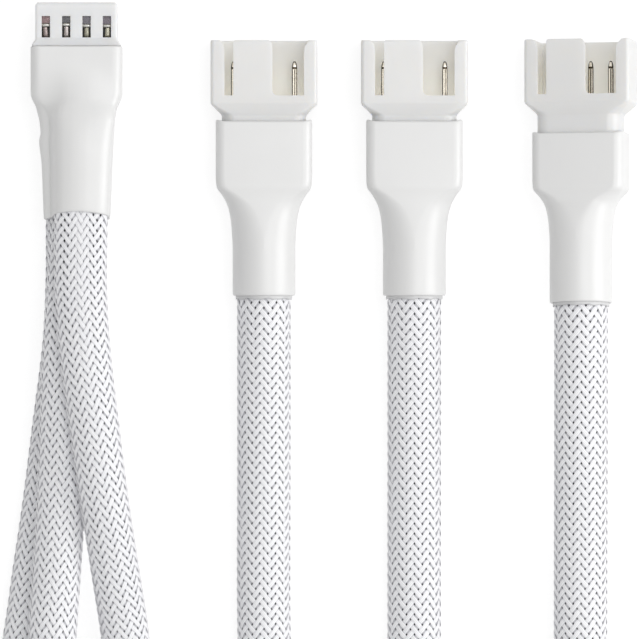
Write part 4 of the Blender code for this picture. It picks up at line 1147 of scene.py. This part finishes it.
def port_shroud(number, port, nylon):
    """A header's shroud: deep pocket, slotted face, chamfered shoulders and a hidden tail."""
    wide, deep = PORT_HALF_WIDTH, PORT_HALF_DEPTH
    keys = [
        (PORT_MOUTH, wide - 0.00006, deep - 0.00008, PORT_CORNER),
        (PORT_MOUTH - 0.00024, wide, deep, PORT_CORNER),
        (PORT_BODY_END + 0.0002, wide, deep, PORT_CORNER),
        (PORT_BODY_END - 0.0001, wide - 0.0001, deep - 0.00002, 0.0005),
        (PORT_NECK + 0.0001, PORT_TAIL_HALF_WIDTH + 0.0001, PORT_TAIL_HALF_DEPTH + 0.00004, 0.0015),
        (PORT_NECK - 0.0002, PORT_TAIL_HALF_WIDTH, PORT_TAIL_HALF_DEPTH, PORT_TAIL_CORNER),
        (PORT_TAIL_END, PORT_TAIL_HALF_WIDTH, PORT_TAIL_HALF_DEPTH, PORT_TAIL_CORNER),
    ]
    body = lofted([rounded_ring(y, w, d, c, 6) for y, w, d, c in keys])
    pocket_wide, pocket_deep, lead = POCKET_HALF_WIDTH, POCKET_HALF_DEPTH, POCKET_LEAD
    pocket = lofted([
        rounded_ring(POCKET_FLOOR, pocket_wide, pocket_deep, POCKET_CORNER, 3),
        rounded_ring(PORT_MOUTH - lead, pocket_wide, pocket_deep, POCKET_CORNER, 3),
        rounded_ring(PORT_MOUTH + lead, pocket_wide + lead, pocket_deep + lead, POCKET_CORNER, 3),
    ])
    cutters = [pocket]
    for outline in slot_outlines():
        cutters.append(outline_prism(outline, POCKET_HALF_DEPTH - PORT_FACE_WALL / 2, deep + OVERRUN))
    for x in CONTACT_X:
        ends = (PORT_TAIL_END - OVERRUN, PORT_NECK)
        bore = [rounded_ring(y, WIRE_BORE, WIRE_BORE, WIRE_BORE, 4) for y in ends]
        for ring in bore:
            ring[:, 0] += x
        cutters.append(lofted(bore))
    mesh = carved(body, cutters, 0.00009)
    place = corners_of(mesh)
    # Deeper into the pocket, more of the nylon's painted warm glow: painted light bounced inside.
    through_face = np.clip((deep - np.abs(place[:, 2])) / PORT_FACE_WALL, 0, 1)
    through_side = np.clip((wide - np.abs(place[:, 0])) / (wide - POCKET_HALF_WIDTH), 0, 1)
    down = ease((PORT_MOUTH - place[:, 1]) / 0.0022) * (place[:, 1] > POCKET_FLOOR - 0.00005)
    pocket_glow = through_face * through_side * (0.25 + 0.75 * down)
    set_values(mesh, "pocket", pocket_glow * (place[:, 1] > PORT_BODY_END))
    mesh.transform(port_place(port))
    piece = mesh_piece(f"port_{number}_shroud", mesh, [nylon])
    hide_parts(f"fan_port_{number}_housing")
    return piece


PIN_HALF = 0.00032
PIN_TIP = PORT_MOUTH - 0.0026
PIN_POINT = 0.00085
PIN_BARREL_HALF = 0.0006
PIN_BARREL_TOP = PORT_NECK - 0.0003
PIN_BARREL_END = PIN_BARREL_TOP - 0.0056


def port_pin(number, label, port, metal):
    """A square pin with softened edges, a bullet point, and the barrel behind it."""
    rings, edges, reflection_bands = [], [], []

    def add(y, half, corner, edge, banded):
        ring = rounded_ring(y, half, half, corner, 4)
        local = np.abs(ring[:, 0]) / half
        rings.append(ring)
        edges.append(np.clip((local - 0.5) * 4, 0, 1) if edge is None else np.full(len(ring), edge))
        reflection_bands.append(ring[:, 0] / half / 2 + 0.5 if banded else np.full(len(ring), 0.3))

    # The very point and the shoulder are painted dark all round, the bullet darker towards its sides, and the
    # shaft in bands across it: painted dark reflections.
    for share in (0.0, 0.04, 0.12, 0.25, 0.42, 0.62, 0.82, 0.86, 1.0):
        size = PIN_HALF * (0.16 + 0.84 * math.sqrt(1 - (1 - share) ** 2))
        edge = 1.0 if share < 0.2 or share > 0.84 else None
        add(PIN_TIP - PIN_POINT * share, size, size * (0.96 - 0.58 * share), edge, False)
    add(PIN_TIP - PIN_POINT - 0.00008, PIN_HALF, PIN_HALF * 0.38, 1.0, False)
    for y in (PIN_TIP - PIN_POINT - 0.00016, PIN_BARREL_TOP):
        add(y, PIN_HALF, PIN_HALF * 0.38, 0.0, True)
    for y in (PIN_BARREL_TOP, PIN_BARREL_END):
        add(y, PIN_BARREL_HALF, 0.0002, 0.3, False)
    mesh = lofted(rings)
    mesh.shade_smooth()
    mesh.set_sharp_from_angle(angle=math.radians(55))
    set_values(mesh, "edge", np.concatenate(edges))
    set_values(mesh, "across", np.concatenate(reflection_bands))
    mesh.transform(port_place(port) @ Matrix.Translation((CONTACT_X[CONTACTS.index(label)], 0, 0)))
    piece = mesh_piece(f"port_{number}_pin_{label}", mesh, [metal])
    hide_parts(f"fan_port_{number}_pin_{label}")
    return piece


PORT_BOOT_FRONT = PORT_NECK - 0.0006
PORT_BOOT_LENGTH = 0.02195
PORT_BOOT_DIP = 0.0003
PORT_BOOT_TAPER = 0.0056
PORT_BOOT_CORNER = 0.0012
PORT_NECK_RADIUS = SLEEVE_GRIPPED / 2 + BOOT_CLEARANCE + BOOT_WALL
# Along the taper: how far, the share of the body's extra width left there, and the depth's change.
PORT_TAPER_SHAPE = (
    (-0.25, 1.0, 0.0), (0.0, 0.985, 0.0), (0.11, 0.93, 0.05), (0.24, 0.68, 0.0), (0.42, 0.40, 0.10),
    (0.58, 0.24, 0.45), (0.80, 0.12, 0.85), (1.0, 0.06, 1.0), (1.5, 0.0, 1.0),
)
# The frayed end past a header boot's rim: how far under the boot's skin, how far past it, and how ragged.
FRAYED_END = (
    (0.000385, 0.00014, 0.0), (0.000385, 0.0005, 0.00005), (0.000395, 0.00060, 0.00008),
    (0.00043, 0.00064, 0.00008), (BOOT_WALL, 0.0005, 0.00005),
)


def port_boot(number, port, shrink):
    """A header's boot: flat over the shroud's tail, drawn down to a round neck."""
    shrunk = PORT_BOOT_FRONT - port["slip"]
    front, rim = shrunk - port["crept"], shrunk - PORT_BOOT_LENGTH
    bend, taper = shrunk - port["straight"], PORT_BOOT_TAPER * port["taper"]
    half_width = PORT_TAIL_HALF_WIDTH + BOOT_CLEARANCE + BOOT_WALL - port["hug"]
    half_depth = PORT_TAIL_HALF_DEPTH + BOOT_CLEARANCE + BOOT_WALL - port["hug"]
    neck = PORT_NECK_RADIUS
    keys = [(front, half_width, half_depth, PORT_BOOT_CORNER), (rim, neck, neck, neck)]
    for along, share, deepened in PORT_TAPER_SHAPE:
        width = neck + (half_width - neck) * share
        depth = half_depth + (neck - half_depth) * deepened
        corner = neck + (PORT_BOOT_CORNER - neck) * share
        keys.append((bend - taper * along, width, depth, corner))
    places = np.concatenate([
        np.linspace(front - 0.0002, bend + 0.0015, 8), np.linspace(bend + 0.0012, bend - 1.5 * taper, 34),
        np.linspace(bend - 1.6 * taper, rim + 0.0002, 12),
    ])
    sections = flow(keys, places)

    def ring(k, inward, shift=0.0, ragged=0.0):
        width, depth, corner = sections[k] - inward
        made = rounded_ring(places[k] + shift, width, depth, max(corner, 0.0002), 10)
        place = np.arctan2(made[:, 2], made[:, 0])
        made[:, 1] += ragged * (np.sin(9 * place + number) + 0.7 * np.sin(17 * place + 2.0))
        dip = PORT_BOOT_DIP * ease((places[k] - front) / 0.003 + 1)
        made[:, 1] -= dip * (1 - (made[:, 0] / width) ** 6)
        return made

    frayed = [ring(len(places) - 1, inward, -past, ragged) for inward, past, ragged in FRAYED_END]
    mesh = lofted(walled_rings(ring, len(places), frayed), wraps=True)
    mesh.shade_smooth()
    place = corners_of(mesh)
    # The frayed band past the rim takes the shrink's painted grey: painted shade under the rim.
    set_values(mesh, "rim_shade_band", place[:, 1] < np.concatenate(frayed)[:, 1].max() - 0.00006)
    mesh.transform(port_place(port))
    piece = mesh_piece(f"port_{number}_shrink", mesh, [shrink])
    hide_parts(f"fan_port_{number}_boot")
    return piece


def camera():
    data = bpy.data.cameras.new("view")
    data.sensor_width = SENSOR_MM
    data.lens = SENSOR_MM * CAMERA_DISTANCE / VIEW_WIDTH
    data.clip_start, data.clip_end = 0.05, 10.0
    made = bpy.data.objects.new("view", data)
    made.location = (*VIEW_CENTRE, VIEW_LEVEL + CAMERA_DISTANCE)
    bpy.context.scene.collection.objects.link(made)
    bpy.context.scene.camera = made


def softbox(name, place, target, size, power):
    data = bpy.data.lights.new(name, "AREA")
    data.shape = "RECTANGLE"
    data.size, data.size_y = size
    data.energy = power
    made = bpy.data.objects.new(name, data)
    made.location = place
    made.rotation_euler = (Vector(target) - Vector(place)).to_track_quat("-Z", "Y").to_euler()
    bpy.context.scene.collection.objects.link(made)


def studio():
    """A pale floor, a soft key from the right, and an even glow all round."""
    mesh = bpy.data.meshes.new("floor")
    far, level = 3.0, -0.0001
    mesh.from_pydata([(-far, -far, level), (far, -far, level), (far, far, level), (-far, far, level)], [],
                     [(0, 1, 2, 3)])
    mesh.materials.append(floor_material())
    floor = bpy.data.objects.new("floor", mesh)
    bpy.context.scene.collection.objects.link(floor)
    target = (VIEW_CENTRE[0], VIEW_CENTRE[1], 0.0)
    softbox("key", (1.03, -0.02, 0.50), target, (0.5, 0.7), 5.3)
    softbox("top", (0.26, 0.08, 1.08), target, (0.7, 0.5), 3.0)
    world = bpy.data.worlds.new("studio")
    bpy.context.scene.world = world
    world.use_nodes = True
    nodes = Nodes(world.node_tree)
    seen = seen_directly(nodes)
    back = world.node_tree.nodes["Background"]
    back.inputs["Color"].default_value = WHITE
    world.node_tree.links.new(nodes.remapped(seen, 0.0, 1.0, 0.545, 1.0), back.inputs["Strength"])


def dress_hidden_wires(insulation):
    """The model's own wires, inside the boots, take the insulation's finish."""
    wires = {}
    for name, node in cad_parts.items():
        if "_wire_" in name:
            node.data.materials.clear()
            node.data.materials.append(insulation)
            wires[name] = node
    return wires


def main():
    scene = bpy.context.scene
    scene.view_settings.view_transform = "Standard"
    camera()
    studio()
    skin, tarnish = plastic_skin_group(), tarnish_group()
    plug_nylon = nylon_material(skin, "plug_nylon", 0.86)
    port_nylon = nylon_material(skin, "port_nylon", 0.775)
    shrink = shrink_material(skin)
    insulation, metal, yarn = insulation_material(skin), pin_material(tarnish), yarn_material()
    wires = dress_hidden_wires(insulation)
    trees = {"braid": braid_nodes(), "lining": lining_nodes()}
    plug_shell(plug_nylon)
    for label, x in zip(CONTACTS, CONTACT_X):
        plug_terminal(label, x, tarnish)
    host_boot(shrink)
    for number, (port, route) in enumerate(zip(PORTS, ROUTES), 1):
        braid, lining, path = leg(number, route, trees, yarn, insulation)
        pieces = [lining, port_shroud(number, port, port_nylon), port_boot(number, port, shrink)]
        for label in CONTACTS:
            if f"fan_port_{number}_pin_{label}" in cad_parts:
                pieces.append(port_pin(number, label, port, metal))
                pieces.append(wires[f"fan_port_{number}_wire_{label}"])


main()
